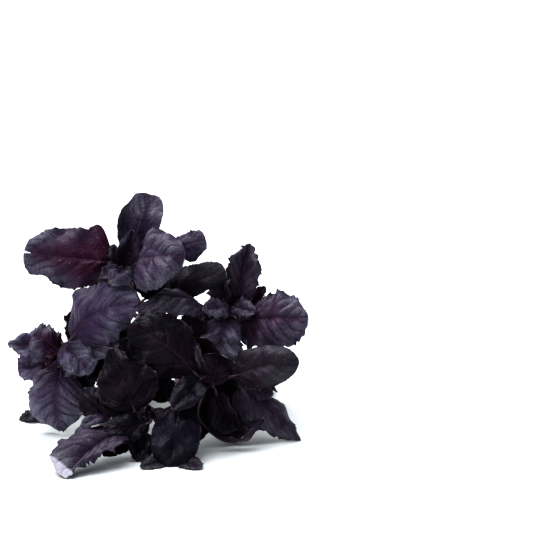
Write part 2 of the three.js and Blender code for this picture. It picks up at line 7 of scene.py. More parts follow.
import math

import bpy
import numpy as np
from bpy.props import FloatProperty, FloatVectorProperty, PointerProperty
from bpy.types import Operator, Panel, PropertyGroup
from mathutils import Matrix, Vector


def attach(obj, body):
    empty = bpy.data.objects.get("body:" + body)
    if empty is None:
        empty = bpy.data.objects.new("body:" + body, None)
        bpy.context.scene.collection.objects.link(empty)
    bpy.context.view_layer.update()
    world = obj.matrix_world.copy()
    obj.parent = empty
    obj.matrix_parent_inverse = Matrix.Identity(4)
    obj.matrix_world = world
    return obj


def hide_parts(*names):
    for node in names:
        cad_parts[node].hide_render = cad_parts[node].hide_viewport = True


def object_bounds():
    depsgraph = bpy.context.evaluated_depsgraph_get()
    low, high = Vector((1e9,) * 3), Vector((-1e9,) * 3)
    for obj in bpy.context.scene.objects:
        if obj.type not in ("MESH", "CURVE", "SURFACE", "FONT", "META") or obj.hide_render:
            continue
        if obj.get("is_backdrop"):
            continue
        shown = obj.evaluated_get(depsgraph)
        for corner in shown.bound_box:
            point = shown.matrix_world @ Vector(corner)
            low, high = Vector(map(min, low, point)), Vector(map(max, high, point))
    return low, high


bl_info = {
    "name": "Purple basil bunch",
    "version": (1, 0, 0),
    "blender": (4, 5, 0),
    "location": "View3D > Sidebar > Basil",
    "description": "Builds the leaves, stems, light and camera of a bunch of cut purple basil",
    "category": "Add Mesh",
}

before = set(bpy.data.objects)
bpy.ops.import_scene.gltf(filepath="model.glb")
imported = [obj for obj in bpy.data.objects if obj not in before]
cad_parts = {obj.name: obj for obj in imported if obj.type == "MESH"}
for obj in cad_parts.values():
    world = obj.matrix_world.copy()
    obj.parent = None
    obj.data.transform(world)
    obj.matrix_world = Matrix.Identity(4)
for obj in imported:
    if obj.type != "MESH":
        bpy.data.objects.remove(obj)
cad_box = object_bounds()

MILLIMETRE = 0.001
BUNCH_CENTRE = (0.33, 3.08, 0)  # middle of the bunch, in the frame that it is laid out in
BODY = "root"
SEED = 7

# What a leaf has unless its row says otherwise: arch is how high the midrib rises between its ends, hook
# how far the tip bends down, sway how far the midrib bows sideways, fold the angle between half and flat
# in degrees, cup how far the margins bend up, puff the swelling of each half, buckle the height of the
# slow waves over the blade, wave the height of the margin's waves and waves their number. belly and end
# shape the outline (small numbers make it broad near the stalk, or blunt at the tip), notch draws the tip
# back at the midrib, and each of the lobes is a side (1 is the right one), a place along the midrib, the
# share by which the half is wider there, and how far along that reaches. pucker scales the swellings
# between the veins, ragged the teeth, and from turned_tip on the blade shows its pale turned-over side.
PLAIN_LEAF = {
    "arch": 0,
    "hook": 0,
    "sway": 0,
    "fold": 10,
    "cup": 0,
    "puff": 1,
    "buckle": 1,
    "wave": 0.6,
    "waves": 3,
    "belly": 0.5,
    "end": 0.6,
    "notch": 0,
    "lobes": (),
    "pucker": 1,
    "ragged": 1,
    "turned_tip": 1,
}


def leaf(name, stalk_from, base, tip, face, width, tint, blush, **shape):
    """One row of the layout: stalk_from is the stalk's place along the stem, base and tip are the ends of
    the midrib, face is the way the upper side looks, and blush is how far wine red spreads from the base."""
    row = dict(PLAIN_LEAF)
    row.update(shape)
    row.update(name=name, stalk_from=stalk_from, base=base, tip=tip, face=face, width=width)
    row.update(tint=tint, blush=blush)
    return row


# Leaves that stand deep in the bunch take the near-black tint, whose colour is painted shade.
LEAFY_STEMS = {
    "leafy_stem_top": {
        "path": [(-6, 96, 1.5), (-8, 60, 27), (-14, 35, 70), (-20, 1, 87)],
        "leaves": [
            leaf("left", 0.95, (-24, -1, 90.5), (-70.5, -8, 97.8), (-0.15, -0.88, 0.45), 36, "dusk", 0.95,
                 arch=3, sway=-1.5, fold=-9, puff=2.4, wave=1.6, belly=0.38, end=0.42, notch=0.08,
                 lobes=((1, 0.1, 0.55, 0.13), (-1, 0.76, -0.28, 0.12), (-1, 0.1, -0.55, 0.15),
                        (-1, 0.5, -0.12, 0.3)), pucker=0.8, ragged=0.5),
            leaf("up", 0.93, (-15, 8, 92), (-5, 14, 125), (-0.1, -0.95, 0.3), 23, "dusk", 0,
                 arch=2, hook=5, fold=6, puff=-2.6, cup=2.4, wave=0.3, belly=0.6, end=0.42,
                 lobes=((-1, 0.8, -0.16, 0.1),), pucker=0.35, ragged=0.15),
            leaf("right", 0.95, (-14, -6, 89), (15.5, -22, 98), (0.15, -0.75, 0.65), 39, "dusk", 0.2,
                 arch=7, fold=-14, puff=2.2, wave=2, end=0.55, lobes=((-1, 0.7, -0.14, 0.14),),
                 pucker=0.9, ragged=0.4),
            leaf("young_up", 0.98, (-18.5, -4, 90), (-13.5, -6, 109.5), (0.4, -0.9, 0.1), 18, "plum", 0.5,
                 arch=1, fold=34, puff=0.8, wave=0.8, end=0.7, pucker=0.8, ragged=0.3),
            leaf("young_side", 0.97, (-20, -2, 91), (-24, 0, 100), (-0.3, -0.9, 0.1), 8, "plum", 0,
                 arch=1, fold=30, puff=0.4),
            leaf("young_front", 1, (-19, -9, 89.5), (-19.5, -19, 82), (0, -0.6, 0.8), 14, "dusk", 0,
                 arch=2, fold=-12, puff=0.8, wave=1.2, end=0.35, ragged=1.2),
            leaf("young_left", 0.99, (-20, -6, 89), (-30, -11, 84), (-0.1, -0.6, 0.8), 9, "dusk", 0.3,
                 arch=1, fold=14, puff=0.5, wave=1),
            leaf("low_right", 0.8, (4.5, 12, 92.6), (25.5, 6, 101.6), (0.1, -0.9, 0.45), 15, "dusk", 0,
                 arch=1, fold=-6, end=0.34, lobes=((1, 0.55, 0.22, 0.1),), pucker=0.6, ragged=0.7),
            leaf("reach_right", 0.72, (3, 4, 76.3), (36, -6, 87.3), (0.1, -0.98, 0.15), 19, "slate", 0.2,
                 arch=3, sway=1.5, fold=-24, puff=1.6, wave=1, belly=0.45, end=0.34,
                 lobes=((1, 0.7, -0.25, 0.2),), pucker=0.5, ragged=0.4),
            leaf("under_right", 0.9, (-12, -2, 84), (4, -5, 71), (0.2, -0.9, 0.3), 14, "painted_shade_black", 0.1,
                 arch=1, wave=1),
            leaf("back_left", 0.78, (-18, 28, 71), (-56, 44, 79), (-0.2, 0.85, 0.5), 26, "dusk", 0.5,
                 arch=4, fold=-8, wave=1.2),
            leaf("back_up", 0.84, (-16, 22, 78), (-8, 40, 104), (0.1, 0.9, 0.1), 20, "slate", 0.1,
                 arch=3, wave=1),
            leaf("back_right", 0.74, (-11, 32, 68), (16, 52, 72), (0.2, 0.8, 0.6), 22, "lilac", 0.3,
                 arch=4, fold=-8, wave=1.2),
            leaf("tail_left", 0.5, (-14, 52, 46), (-40, 74, 38), (-0.2, 0.6, 0.8), 23, "dusk", 0.6,
                 arch=5, fold=-8, wave=1.2),
            leaf("tail_right", 0.52, (-8, 52, 48), (14, 80, 42), (0.2, 0.6, 0.8), 22, "olive", 0.2,
                 arch=5, fold=-8, wave=1.2),
            leaf("side_left", 0.62, (-15, 40, 60), (-44, 34, 56), (-0.2, 0.3, 0.95), 20, "violet", 0.4,
                 arch=4, fold=-8, wave=1),
            leaf("side_right", 0.6, (-9, 42, 60), (19, 40, 56), (0.2, 0.3, 0.95), 20, "dusk", 0.3,
                 arch=4, fold=-8, wave=1),
        ],
    },
    "leafy_stem_right": {
        "path": [(18, 98, 1.5), (24, 60, 20), (40, 30, 48), (41, 0, 65)],
        "leaves": [
            leaf("up", 0.95, (42, 3, 66), (49, 12, 98), (-0.1, -0.95, 0.3), 20.5, "plum", 0.3,
                 arch=2, fold=22, puff=1.2, end=0.75, wave=0.9,
                 lobes=((-1, 0.72, 0.16, 0.06), (1, 0.62, 0.12, 0.06), (-1, 0.93, 0.4, 0.02)), ragged=1.2),
            leaf("right", 0.95, (47, -3, 60), (80, -14, 63), (0.05, -0.85, 0.5), 33, "dusk", 0.48,
                 arch=4, sway=1.5, fold=-13, puff=2.6, wave=2.4, end=0.5,
                 lobes=((1, 0.06, 0.95, 0.1), (-1, 0.85, 0.16, 0.1)),
                 pucker=1.2, ragged=1.1),
            leaf("young_left", 0.98, (40, -5, 66), (24, -12, 67), (-0.1, -0.7, 0.7), 14, "dusk", 0,
                 arch=2, fold=-10, wave=1.4, waves=4, pucker=1.8, ragged=1.6),
            leaf("young_front", 1, (40, -5, 67), (52, -12, 65), (0.1, -0.7, 0.7), 12, "dusk", 0.1,
                 arch=1, wave=1.2, pucker=1.8, ragged=1.4),
            leaf("down", 0.96, (37, -6, 63), (31, -17, 39), (-0.05, -0.8, 0.55), 23, "lilac", 0.1,
                 arch=3, fold=-14, wave=1.8, belly=0.3, end=0.2, lobes=((1, 0.4, -0.12, 0.15),),
                 pucker=0.9, ragged=0.8),
            leaf("young_up", 0.97, (37, -1, 67), (33, 5, 87), (-0.5, -0.8, 0.2), 16, "plum", 0.4,
                 arch=1, fold=30, wave=1),
            leaf("young_back", 0.95, (47, 4, 66), (57.5, 8, 75), (0.3, -0.8, 0.4), 7, "wine", 0.4,
                 arch=1, fold=20),
            leaf("over", 0.84, (24, -5, 67.5), (-10, -25, 70), (-0.05, -0.45, 0.88), 24, "mauve", 0.05,
                 arch=7.5, fold=-20, puff=1.4, wave=1.2, belly=0.35, pucker=2.4, ragged=0.6),
            leaf("under", 0.84, (24.5, -1, 64), (17, -9, 47), (0.1, -0.95, 0.2), 19, "mauve", 0.4,
                 arch=1.5, fold=-6, wave=1, belly=0.35, end=0.4, pucker=1.2, ragged=0.8),
            leaf("inner", 0.88, (34, 0, 60), (26, -6, 42), (0.1, -0.95, 0.2), 18, "painted_shade_black", 0,
                 arch=1.5, wave=1),
            leaf("low_right", 0.9, (44, -2, 58), (51, -8, 46), (0.1, -0.95, 0.2), 10, "dusk", 0.4,
                 arch=1, wave=1),
            leaf("back_right", 0.76, (38, 26, 49), (66, 46, 52), (0.2, 0.8, 0.5), 22, "dusk", 0.6,
                 arch=4, fold=-8, wave=1.2),
            leaf("back_up", 0.8, (38, 24, 53), (50, 46, 72), (0.2, 0.9, 0.3), 18, "slate", 0.1,
                 arch=3, fold=8, wave=1),
            leaf("back_left", 0.7, (34, 32, 46), (12, 56, 46), (-0.3, 0.6, 0.8), 17, "mauve", 0.4,
                 arch=4, fold=-8, wave=1),
            leaf("tail", 0.42, (29, 60, 24), (54, 80, 8), (0.2, 0.5, 0.9), 22, "dusk", 0.4,
                 arch=5, fold=-8, wave=1.2),
            leaf("side_right", 0.62, (37, 42, 42), (66, 36, 34), (0.4, 0.2, 0.9), 20, "violet", 0.5,
                 arch=4, fold=-8, wave=1.2),
        ],
    },
    "leafy_stem_left": {
        "path": [(-30, 92, 1.5), (-38, 60, 10), (-48, 25, 32), (-51, -5, 44)],
        "leaves": [
            leaf("left", 0.97, (-53, -10, 45), (-79.5, -16, 49.5), (-0.1, -0.75, 0.65), 20, "lilac", 0.6,
                 arch=2, fold=-10, puff=1.4, wave=1.6, end=0.8, pucker=1.4, ragged=2),
            leaf("blush", 0.97, (-51, -13, 44), (-66, -15, 54.5), (-0.1, -0.75, 0.65), 19, "dusk", 0.9,
                 arch=1.5, fold=-12, puff=1.4, wave=1.4, end=0.3, pucker=1.1, ragged=1.7),
            leaf("down", 0.94, (-51, -14, 36), (-52, -17, 2), (-0.1, -0.8, 0.6), 36, "lilac", 0.38,
                 arch=6, sway=2, fold=-22, puff=2.8, wave=2.2, end=0.46, notch=0.03,
                 lobes=((1, 0.1, 0.4, 0.12), (-1, 0.82, 0.6, 0.15)), pucker=1.6, ragged=0.75),
            leaf("young_right", 0.99, (-50.5, -12, 48.5), (-34.5, -21, 35), (0.1, -0.8, 0.6), 20, "lilac",
                 0.15, arch=1.5, fold=-8, wave=1.2, pucker=0.7, ragged=1.8),
            leaf("behind", 0.9, (-58, -5, 36), (-76, -4, 32), (-0.1, -0.9, 0.4), 15, "lilac", 0.3,
                 arch=1, fold=6, wave=1, end=0.4, pucker=1.5),
            leaf("heart", 1, (-51, -12, 44), (-58, -20, 36), (-0.1, -0.8, 0.5), 9, "wine", 0.8,
                 arch=1, fold=25, wave=0.8, ragged=1.5),
            leaf("olive", 0.88, (-44, -4, 36), (-38, -10, 17), (0.2, -0.95, 0.2), 14, "olive", 0.1,
                 arch=1, fold=6, wave=1),
            leaf("floor", 0.6, (-54, 10, 3), (-77, 6, 0), (-0.1, -0.3, 0.95), 14, "ink", 0.1,
                 arch=2, fold=12, wave=1.4),
            leaf("big_up", 0.92, (-46, -10, 51), (-9, -20, 73), (-0.35, -0.88, 0.35), 36, "violet", 0.3,
                 arch=4, sway=-4.5, fold=-20, puff=2.8, wave=2.2, belly=0.4, end=0.55, pucker=1.2,
                 lobes=((-1, 0.06, -0.15, 0.06), (-1, 0.27, 0.24, 0.14)), ragged=0.75),
            leaf("under", 0.9, (-46, -1, 41), (-13, -13, 56), (0.15, -0.75, 0.6), 26, "dusk", 0.1,
                 arch=2, wave=1),
            leaf("inner", 0.86, (-42, -2, 44), (-28, -4, 26), (0.1, -0.95, 0.2), 17, "painted_shade_black", 0,
                 arch=1, wave=1),
            leaf("back_left", 0.74, (-48, 22, 34), (-75, 38, 36), (-0.3, 0.8, 0.5), 18, "dusk", 0.5,
                 arch=3, fold=-6, wave=1),
            leaf("back_up", 0.76, (-47, 22, 37), (-42, 46, 54), (0, 0.9, 0.4), 20, "violet", 0.3,
                 arch=4, fold=-6, wave=1),
            leaf("back_right", 0.66, (-43, 28, 29), (-22, 46, 28), (0.3, 0.7, 0.6), 18, "slate", 0.1,
                 arch=3, fold=-6, wave=1),
            leaf("tail", 0.4, (-42, 50, 15), (-68, 66, 3), (-0.3, 0.2, 0.95), 22, "dusk", 0.5,
                 arch=5, fold=-6, wave=1.2),
            leaf("side_left", 0.56, (-46, 38, 22), (-68, 32, 14), (-0.3, 0.2, 0.9), 18, "olive", 0.2,
                 arch=3, fold=-8, wave=1),
        ],
    },
    "leafy_stem_front_right": {
        "path": [(32, 88, 1.5), (36, 50, 8), (32, 5, 26), (28, -34, 36)],
        "leaves": [
            leaf("big_left", 0.95, (21, -40, 40), (-12.5, -40, 66), (-0.2, -0.85, 0.45), 33, "ink", 0.2,
                 arch=4, sway=2, fold=-14, puff=2.2, wave=2.4, end=0.42, pucker=0.8, ragged=0.8),
            leaf("low_left", 0.98, (24, -43, 38), (10, -65, 28), (-0.1, -0.9, 0.3), 15, "coal", 0,
                 arch=1, fold=4, end=0.7, pucker=0.8, ragged=0.4),
            leaf("cup", 0.97, (30, -38, 33), (34, -42, 53), (0.1, -0.95, 0.2), 19, "ink", 0.5,
                 arch=-2, hook=-3, fold=14, end=0.32, pucker=0.7, ragged=0.4),
            leaf("right", 0.92, (40, -32, 36), (75, -34, 44.5), (0.1, -0.9, 0.35), 23, "slate", 0.3,
                 arch=3, sway=-1.5, fold=-16, puff=2.2, wave=1, end=0.5, lobes=((-1, 0.2, 0.18, 0.12),),
                 pucker=0.4, ragged=0.2),
            leaf("spoon", 0.97, (32, -38, 28), (42.5, -46, 11.5), (-0.5, -0.8, 0.2), 19, "ink", 0.1,
                 arch=2, fold=28, end=0.5, pucker=0.6, ragged=0.5),
            leaf("bowl", 0.9, (37, -20, 18), (41, -38, 2.5), (0, -0.35, 0.9), 36, "ink", 0.1,
                 arch=-3, fold=24, end=0.35, wave=0.9, pucker=0.5, ragged=0.5),
            leaf("drape", 0.88, (42, -24, 29), (76, -30, 0), (0.35, -0.65, 0.7), 30, "mauve", 0.1,
                 arch=4, sway=-1, fold=-32, puff=1.6, belly=0.38, end=0.8, wave=1,
                 lobes=((-1, 0.5, -0.15, 0.3),), pucker=0.6, ragged=0.7),
            leaf("curl", 0.95, (25, -44, 13.5), (56.5, -42, 17.6), (0, -0.1, 1), 7, "plum", 0.2,
                 arch=-11, sway=4, fold=20, puff=0.5, wave=0.8, pucker=0.6),
            leaf("sliver", 0.99, (26, -38, 38), (22, -44, 56), (-0.3, -0.9, 0.1), 5, "mauve", 0,
                 arch=0.5, fold=20),
            leaf("back_right", 0.66, (34, 12, 24), (64, 28, 22), (0.3, 0.7, 0.6), 18, "violet", 0.3,
                 arch=3, fold=-6, wave=1),
            leaf("low_mid", 0.8, (24, -27, 30), (19, -42, 3), (0.1, -0.9, 0.35), 20, "painted_shade_black", 0,
                 arch=1.5, fold=6, wave=1),
            leaf("under_right", 0.78, (44, -20, 30), (61, -30, 25), (0.1, -0.8, 0.5), 15, "plum", 0,
                 arch=1, fold=-8, wave=1),
            leaf("inner_top", 0.88, (27, -22, 22), (38, -22, 42), (0.1, -0.9, 0.3), 23, "painted_shade_black", 0,
                 arch=1, wave=1),
            leaf("inner", 0.8, (40, -20, 24), (58, -26, 6), (0.2, -0.8, 0.5), 20, "painted_shade_black", 0,
                 arch=1, fold=4, wave=1),
            leaf("behind_cup", 0.9, (26, -28, 34), (23, -27, 56), (-0.1, -0.95, 0.2), 20, "painted_shade_black", 0,
                 arch=1, fold=6, wave=0.8),
            leaf("tail", 0.3, (37, 52, 9), (62, 62, 3), (0.3, 0.1, 0.95), 20, "dusk", 0.5,
                 arch=4, fold=-6, wave=1.2),
            leaf("side_right", 0.48, (37, 30, 17), (64, 42, 6), (0.3, 0.3, 0.9), 20, "slate", 0.2,
                 arch=4, fold=-6, wave=1),
        ],
    },
    "leafy_stem_front_left": {
        "path": [(-18, 90, 1.5), (-16, 50, 6), (-8, 0, 12), (-3, -50, 22)],
        "leaves": [
            leaf("tall", 0.96, (-10, -52, 23), (-23, -48, 56), (-0.15, -0.95, 0.3), 32, "ink", 0.2,
                 arch=3, sway=1, fold=-13, puff=2, wave=2.2, end=0.9,
                 lobes=((1, 0.75, -0.3, 0.12), (1, 0.4, 0.1, 0.1)),
                 pucker=0.6, ragged=0.6),
            leaf("reach", 0.94, (-18, -59, 14), (-43.5, -92, 0.8), (-0.45, -0.8, 0.4), 32, "mauve", 0.15,
                 arch=3, fold=8, puff=1.8, wave=1.8, belly=0.42, end=0.5,
                 lobes=((1, 0.85, 0.3, 0.15), (-1, 0.5, -0.5, 0.3), (-1, 0.85, -0.75, 0.2)),
                 pucker=0.7, ragged=0.9, turned_tip=0.86),
            leaf("rim", 0.93, (-24, -52, 19), (-38, -60, 16), (-0.2, -0.5, 0.85), 9, "dusk", 0,
                 arch=4, fold=-14, wave=0.3, ragged=0.2),
            leaf("dark", 0.98, (-3, -56, 18), (-26, -64, 15), (-0.1, -0.9, 0.45), 16, "ink", 0,
                 arch=1.5, fold=-8, wave=1),
            leaf("dark_low", 0.99, (-4, -54, 12), (-9, -66, 1), (0, -0.9, 0.4), 13, "ink", 0,
                 arch=1, fold=8, wave=1, ragged=1.2),
            leaf("dark_left", 0.97, (-7, -50, 14), (-26, -64, 3), (-0.1, -0.85, 0.5), 12, "painted_shade_black", 0,
                 arch=1, fold=6, wave=1),
            leaf("inner", 0.9, (-12, -40, 16), (-24, -36, 36), (-0.2, -0.9, 0.3), 20, "painted_shade_black", 0,
                 arch=1.5, wave=1),
            leaf("back", 0.85, (-25, -38, 14), (-38, -30, 29), (-0.2, -0.9, 0.3), 18, "ink", 0.1,
                 arch=2, fold=-6, wave=1),
            leaf("tail", 0.5, (-13, 24, 11), (-40, 36, 7), (-0.3, 0.2, 0.95), 20, "violet", 0.3,
                 arch=4, fold=-6, wave=1),
            leaf("side_left", 0.7, (-11, -6, 13), (-36, 2, 5), (-0.2, -0.3, 0.95), 20, "dusk", 0.2,
                 arch=3, fold=-6, wave=1),
            leaf("side_right", 0.78, (-2, -18, 14), (13, -26, 5), (0.2, -0.3, 0.95), 15, "ink", 0.1,
                 arch=2, fold=-6, wave=1),
        ],
    },
    "leafy_stem_middle": {
        "path": [(6, 90, 1.5), (8, 50, 10), (10, 0, 30), (11, -47, 28)],
        "leaves": [
            leaf("fall", 0.97, (12, -52, 27), (8, -74, -1), (0, -0.9, 0.45), 26, "coal", 0,
                 arch=4, hook=2, sway=-1.5, fold=-16, puff=1.8, wave=1.4, belly=0.3, end=0.33, pucker=0.4,
                 ragged=0.4),
            leaf("floor_left", 0.95, (8, -66, 1), (-6, -77, 1), (0, -0.4, 0.9), 11, "slate", 0.1,
                 arch=0.5, fold=4, buckle=0.3),
            leaf("floor_right", 0.95, (13, -66, 0), (25, -78, 1), (0, -0.4, 0.9), 12, "slate", 0.1,
                 arch=0.5, fold=4, buckle=0.3),
            leaf("deep_left", 0.8, (2, -26, 26), (-18, -24, 54), (-0.2, -0.9, 0.3), 23.5, "painted_shade_black", 0,
                 arch=2, fold=-6, wave=1),
            leaf("deep_mid", 0.9, (7, -39, 25), (-3, -33, 40), (-0.2, -0.9, 0.2), 16, "painted_shade_black", 0,
                 arch=1, fold=8, wave=1),
            leaf("tail", 0.45, (10, 38, 18), (16, 62, 12), (0.2, 0.2, 0.95), 16, "dusk", 0.4,
                 arch=3, fold=-6),
            leaf("side_right", 0.68, (13, 4, 26), (27, -6, 14), (0.2, -0.3, 0.9), 15, "ink", 0.1,
                 arch=2, fold=-6),
        ],
    },
}

# Shape of the blade, in the terms of LeafSurface.
HOOK_START = 0.55  # where along the midrib a hooked tip starts to bend down
WAVE_STEP = 2.4  # radians by which each leaf's wave differs from the one before
LEFT_HALF_WAVE_LAG = 2.1
NOTCH_REACH = 0.3  # how far from the midrib a notched tip is drawn back, as a share of the half width
NOTCH_ONSET = 8  # power of the place along the midrib with which the notch sets in
FULL_SWELL_HALF = 6  # half width from which a blade swells and buckles in full
STALK_ROOT = 0.14  # how far along the blade its stalk runs on
BLADE_START = 0.0006
BLADE_END = 0.9995

# Columns and rows of a blade's mesh by its width, widest first. The columns crowd towards both ends.
BLADE_GRIDS = ((27, 104, 48), (16, 68, 32), (9, 40, 20), (0, 24, 12))
CROWDING = 0.75

# Two slow waves across each blade: turns along and across, lag by the leaf's phase, and share.
BUCKLE_WAVES = ((1.15, 0.45, 1.3, 1), (0.8, -0.75, 2.9, 0.6))

# Lateral veins leave the midrib in pairs and bend forward on their way to the margin.
VEIN_SLANT = 0.26
VEIN_BEND = 0.14
VEIN_STAGGER = 0.2
VEIN_WAVER = 0.06
WAVER_TURNS_ALONG = 1.6
WAVER_TURNS_ACROSS = 1.3
WAVER_LAG = 1.5  # radians between the waver of either half and the midrib's
VEIN_PAIRS = ((30, 6), (20, 5), (12, 4), (0, 3))  # by the blade's length, longest first
ACROSS_SLANT = 0.8  # distance from a slanting vein for each millimetre from it along the midrib
LATERAL_WIDTH = 0.4  # millimetres over which a lateral vein's groove and rib fall off
MIDRIB_WIDTH = 0.6
MIDRIB_TAPER = 0.75
MIDRIB_GROOVE = 0.45  # depth in millimetres above, and height of the rib below
MIDRIB_RIB = 1.1
LATERAL_RIB = 1.5  # height of a lateral rib for each millimetre of vein depth

# Teeth of the margin. Places are counted in teeth and heights are shares of the tooth depth.
FULL_TEETH_WIDTH = 35  # width of a leaf whose teeth have their full size
SMALLEST_PITCH = 0.35
SMALLEST_DEPTH = 0.25
FEWEST_TEETH = 4
TOOTH_POINT = 0.8  # where in a tooth its point stands
TOOTH_CURVE = 1.6
TOOTH_HEIGHTS = (0.1, 1.5)
TOOTH_FOOT = 0.3
NIBBLES = 0.45
WIDEST_TOOTH = 0.3  # share of the half width that a tooth may stand out
NARROWEST_HALF = 0.3  # millimetres

# Relief between the veins. FIELDS is the count of random values that the fields between them draw from.
FULL_RELIEF_WIDTH = 34  # width of a leaf whose puckers have their full height
LARGEST_RELIEF = 1.15
FIELDS = 44
FIRST_FIELD = 8
FIELDS_IN_A_HALF = 20
PUCKER_HEIGHT = 0.7
BLISTER_HEIGHT = 0.2
PUCKER_STRENGTHS = (0.25, 1.35)
HUMPS_ACROSS = 1.9  # humps between the midrib and the margin
PUCKERED_RUFFLE = 0.6  # height of the ruffle that a leaf's own pucker scales, and of the rest of it
PLAIN_RUFFLE = 0.2
RUFFLE_TEETH = 2.3  # teeth to one wave of the ruffled margin
BENDS = 4  # slow waves in any direction
BEND_LENGTHS = (9, 24)
BEND_HEIGHTS = (0.25, 0.7)
CREASES = 3  # sharp bends across each blade
CREASE_PLACES = (0.15, 0.9)
CREASE_DEPTHS = (0.3, 0.95)
CREASE_WIDTHS = (0.9, 2.2)
CREASE_ROUNDING = 0.05  # square of the distance over which a crease's bottom is round

# Where the bunch meets the surface that it lies on, in millimetres.
FLOOR_GAP = 0.45  # from the surface to the middle of a blade that lies on it
LOWEST_POINT = 0.03
LANDING = 0.04  # square of twice the height over which a blade eases onto the surface

# The square stem and its stalks. A cap is a list of rings that close an end, each with its share of the
# radius and how far it stands out in millimetres.
STEM_SIDES = 16
STEM_RINGS = 44
STEM_GROOVE = 0.2
STALK_SIDES = 10
STALK_RINGS = 14
STALK_CHANNEL = 0.3
STALK_FORWARD = 0.35  # how far a stalk leaves the stem along the stem's own heading
STALK_GRIP = 0.38  # share of its reach over which a stalk keeps its first and its last heading
SHORTEST_STALK = 2  # millimetres, below which a stalk leaves straight towards the blade
# Shares of a stalk's radius at the stem, just outside it, at the blade, and where it ends in the midrib.
STALK_THICKNESS = (1.25, 1.0, 0.72, 0.3)
SUNK_RINGS = 4  # rings of a stalk that run on inside the midrib
SUNK_DEPTHS = (0.2, 0.9)
FULL_STALK_WIDTH = 26  # width of a leaf whose stalk has its full radius
ROSETTE_START = 0.9  # from here on along the stem no leaf has a joint of its own
JOINT_SWELLING = 0.16
JOINT_REACH = 0.02
CUT_CAP = ((0.93, 0.12), (0.8, 0.1), (0.55, 0.02), (0.3, -0.1), (0.1, -0.16))
TIP_CAP = ((0.8, 0.5), (0.4, 0.9), (0.1, 1))
STALK_CAP = ((0.6, 0.15), (0.2, 0.2))

# Buds round each growing tip, and how far the painted shade on the leaves and stalks round it reaches.
BUDS_PER_TIP = 6
BUD_LENGTH = 7.5
BUD_SHRINKS_BY = 0.8
BUD_LEAN = 0.75
BUD_CLOSES_BY = 0.09
BUD_OFFSET = 0.6  # millimetres from the middle of the stem to a bud's foot
BUD_ARCH = -0.12  # share of its length
BUD_SHAPE = {"fold": 32, "puff": 0.3, "buckle": 0.1, "wave": 0.2, "end": 0.8}
BUD_BLUSH = 0.3
BUD_TINTS = ("ink", "wine", "lilac")
GOLDEN_ANGLE = math.radians(137.5)
TIP_SHADE_REACH = 9  # millimetres from a stem's growing tip over which leaves are dark

# A leaf's colours, from its tint; the lighter, greyer bloom colour also carries painted sheen and a painted
# highlight. DARK_LEAF is the mean of a tint below which the margin is paler.
BLOOM_CAST = (0.92, 0.975, 1.03)
BLOOM_LIGHTENS = 2.1
BLOOM_GREYS = 0.7
BARE_CAST = (0.71, 0.63, 0.78)
DARK_LEAF = 0.02
TURN_OVER = 0.03  # share of the blade over which a turned tip begins

TURN = 2 * math.pi


def to_metres(points):
    """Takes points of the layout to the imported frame."""
    return (np.asarray(points, float) - BUNCH_CENTRE) * MILLIMETRE


def smooth_rise(x, low, high):
    """0 below low, 1 above high, and a smooth slope between."""
    share = np.clip((np.asarray(x, float) - low) / (high - low), 0, 1)
    return share * share * (3 - 2 * share)


def unit(vectors):
    """The vectors at a length of 1."""
    vectors = np.asarray(vectors, float)
    return vectors / np.maximum(np.linalg.norm(vectors, axis=-1, keepdims=True), 1e-12)


def by_size(table, size):
    """The values of the first row of a table whose size is reached."""
    return next(row[1:] for row in table if size >= row[0])


def any_phase(rng):
    """A random start for a wave, in radians."""
    return rng.uniform(0, 6)


class LeafSurface:
    """The curved middle surface of one leaf. t runs along the midrib from stalk to tip, and v runs across
    it from -1 at the left margin to 1 at the right one."""

    def __init__(self, row, index):
        self.__dict__.update(row)
        self.phase = index * WAVE_STEP
        self.start = np.array(self.base, float)
        run = np.array(self.tip, float) - self.start
        self.length = np.linalg.norm(run)
        self.along = run / self.length
        face = np.array(self.face, float)
        self.up = unit(face - face.dot(self.along) * self.along)
        self.side = np.cross(self.along, self.up)

    def midrib(self, t):
        """Places along the midrib, which arches up, bows sideways and may hook down at its tip."""
        t = np.asarray(t, float)[..., None]
        bow = 4 * t * (1 - t)
        late = np.maximum(0, (t - HOOK_START) / (1 - HOOK_START))
        rise = self.arch * bow - self.hook * late**2
        return self.start + self.length * t * self.along + rise * self.up + self.sway * bow * self.side

    def half_width(self, t, v=0):
        """Half the width at t, with the lobes of the half that v is in."""
        widest = self.belly / (self.belly + self.end)
        peak = widest**self.belly * (1 - widest) ** self.end
        half = self.width / 2 * t**self.belly * (1 - t) ** self.end / peak
        for side, place, rise, reach in self.lobes:
            bulge = rise * np.exp(-(((t - place) / reach) ** 2))
            half = half * (1 + np.where(np.sign(v) == side, bulge, 0))
        return half

    def buckling(self, t, v):
        """Height of the slow waves over the blade, as a share of its buckle."""
        height = 0
        for along, across, lag, share in BUCKLE_WAVES:
            height = height + share * np.sin(TURN * (along * t + across * v) + lag * self.phase)
        return height

    def point(self, t, v, relief=0):
        """The surface at t and v, raised by relief in millimetres along the leaf's upper side."""
        step = 1e-3
        place = t - self.notch * np.exp(-((v / NOTCH_REACH) ** 2)) * t**NOTCH_ONSET
        tangent = unit(self.midrib(place + step) - self.midrib(place - step))
        normal = unit(self.up - np.sum(tangent * self.up, axis=-1, keepdims=True) * tangent)
        across = np.cross(tangent, normal)
        share = np.abs(v)
        half = self.half_width(t, v)
        fold = math.radians(self.fold)
        swell = np.sin(math.pi * t)
        full = swell * np.minimum(1, half / FULL_SWELL_HALF)
        lag = np.where(v < 0, LEFT_HALF_WAVE_LAG, 0)
        ripple = np.sin(TURN * self.waves * t + self.phase + lag)
        height = share * half * math.sin(fold) + relief
        height = height + (self.puff * np.sin(math.pi * share) + self.buckle * self.buckling(t, v)) * full
        height = height + (self.wave * ripple + self.cup) * share**2 * swell
        lateral = v * half * math.cos(fold)
        return self.midrib(place) + lateral[..., None] * across + height[..., None] * normal


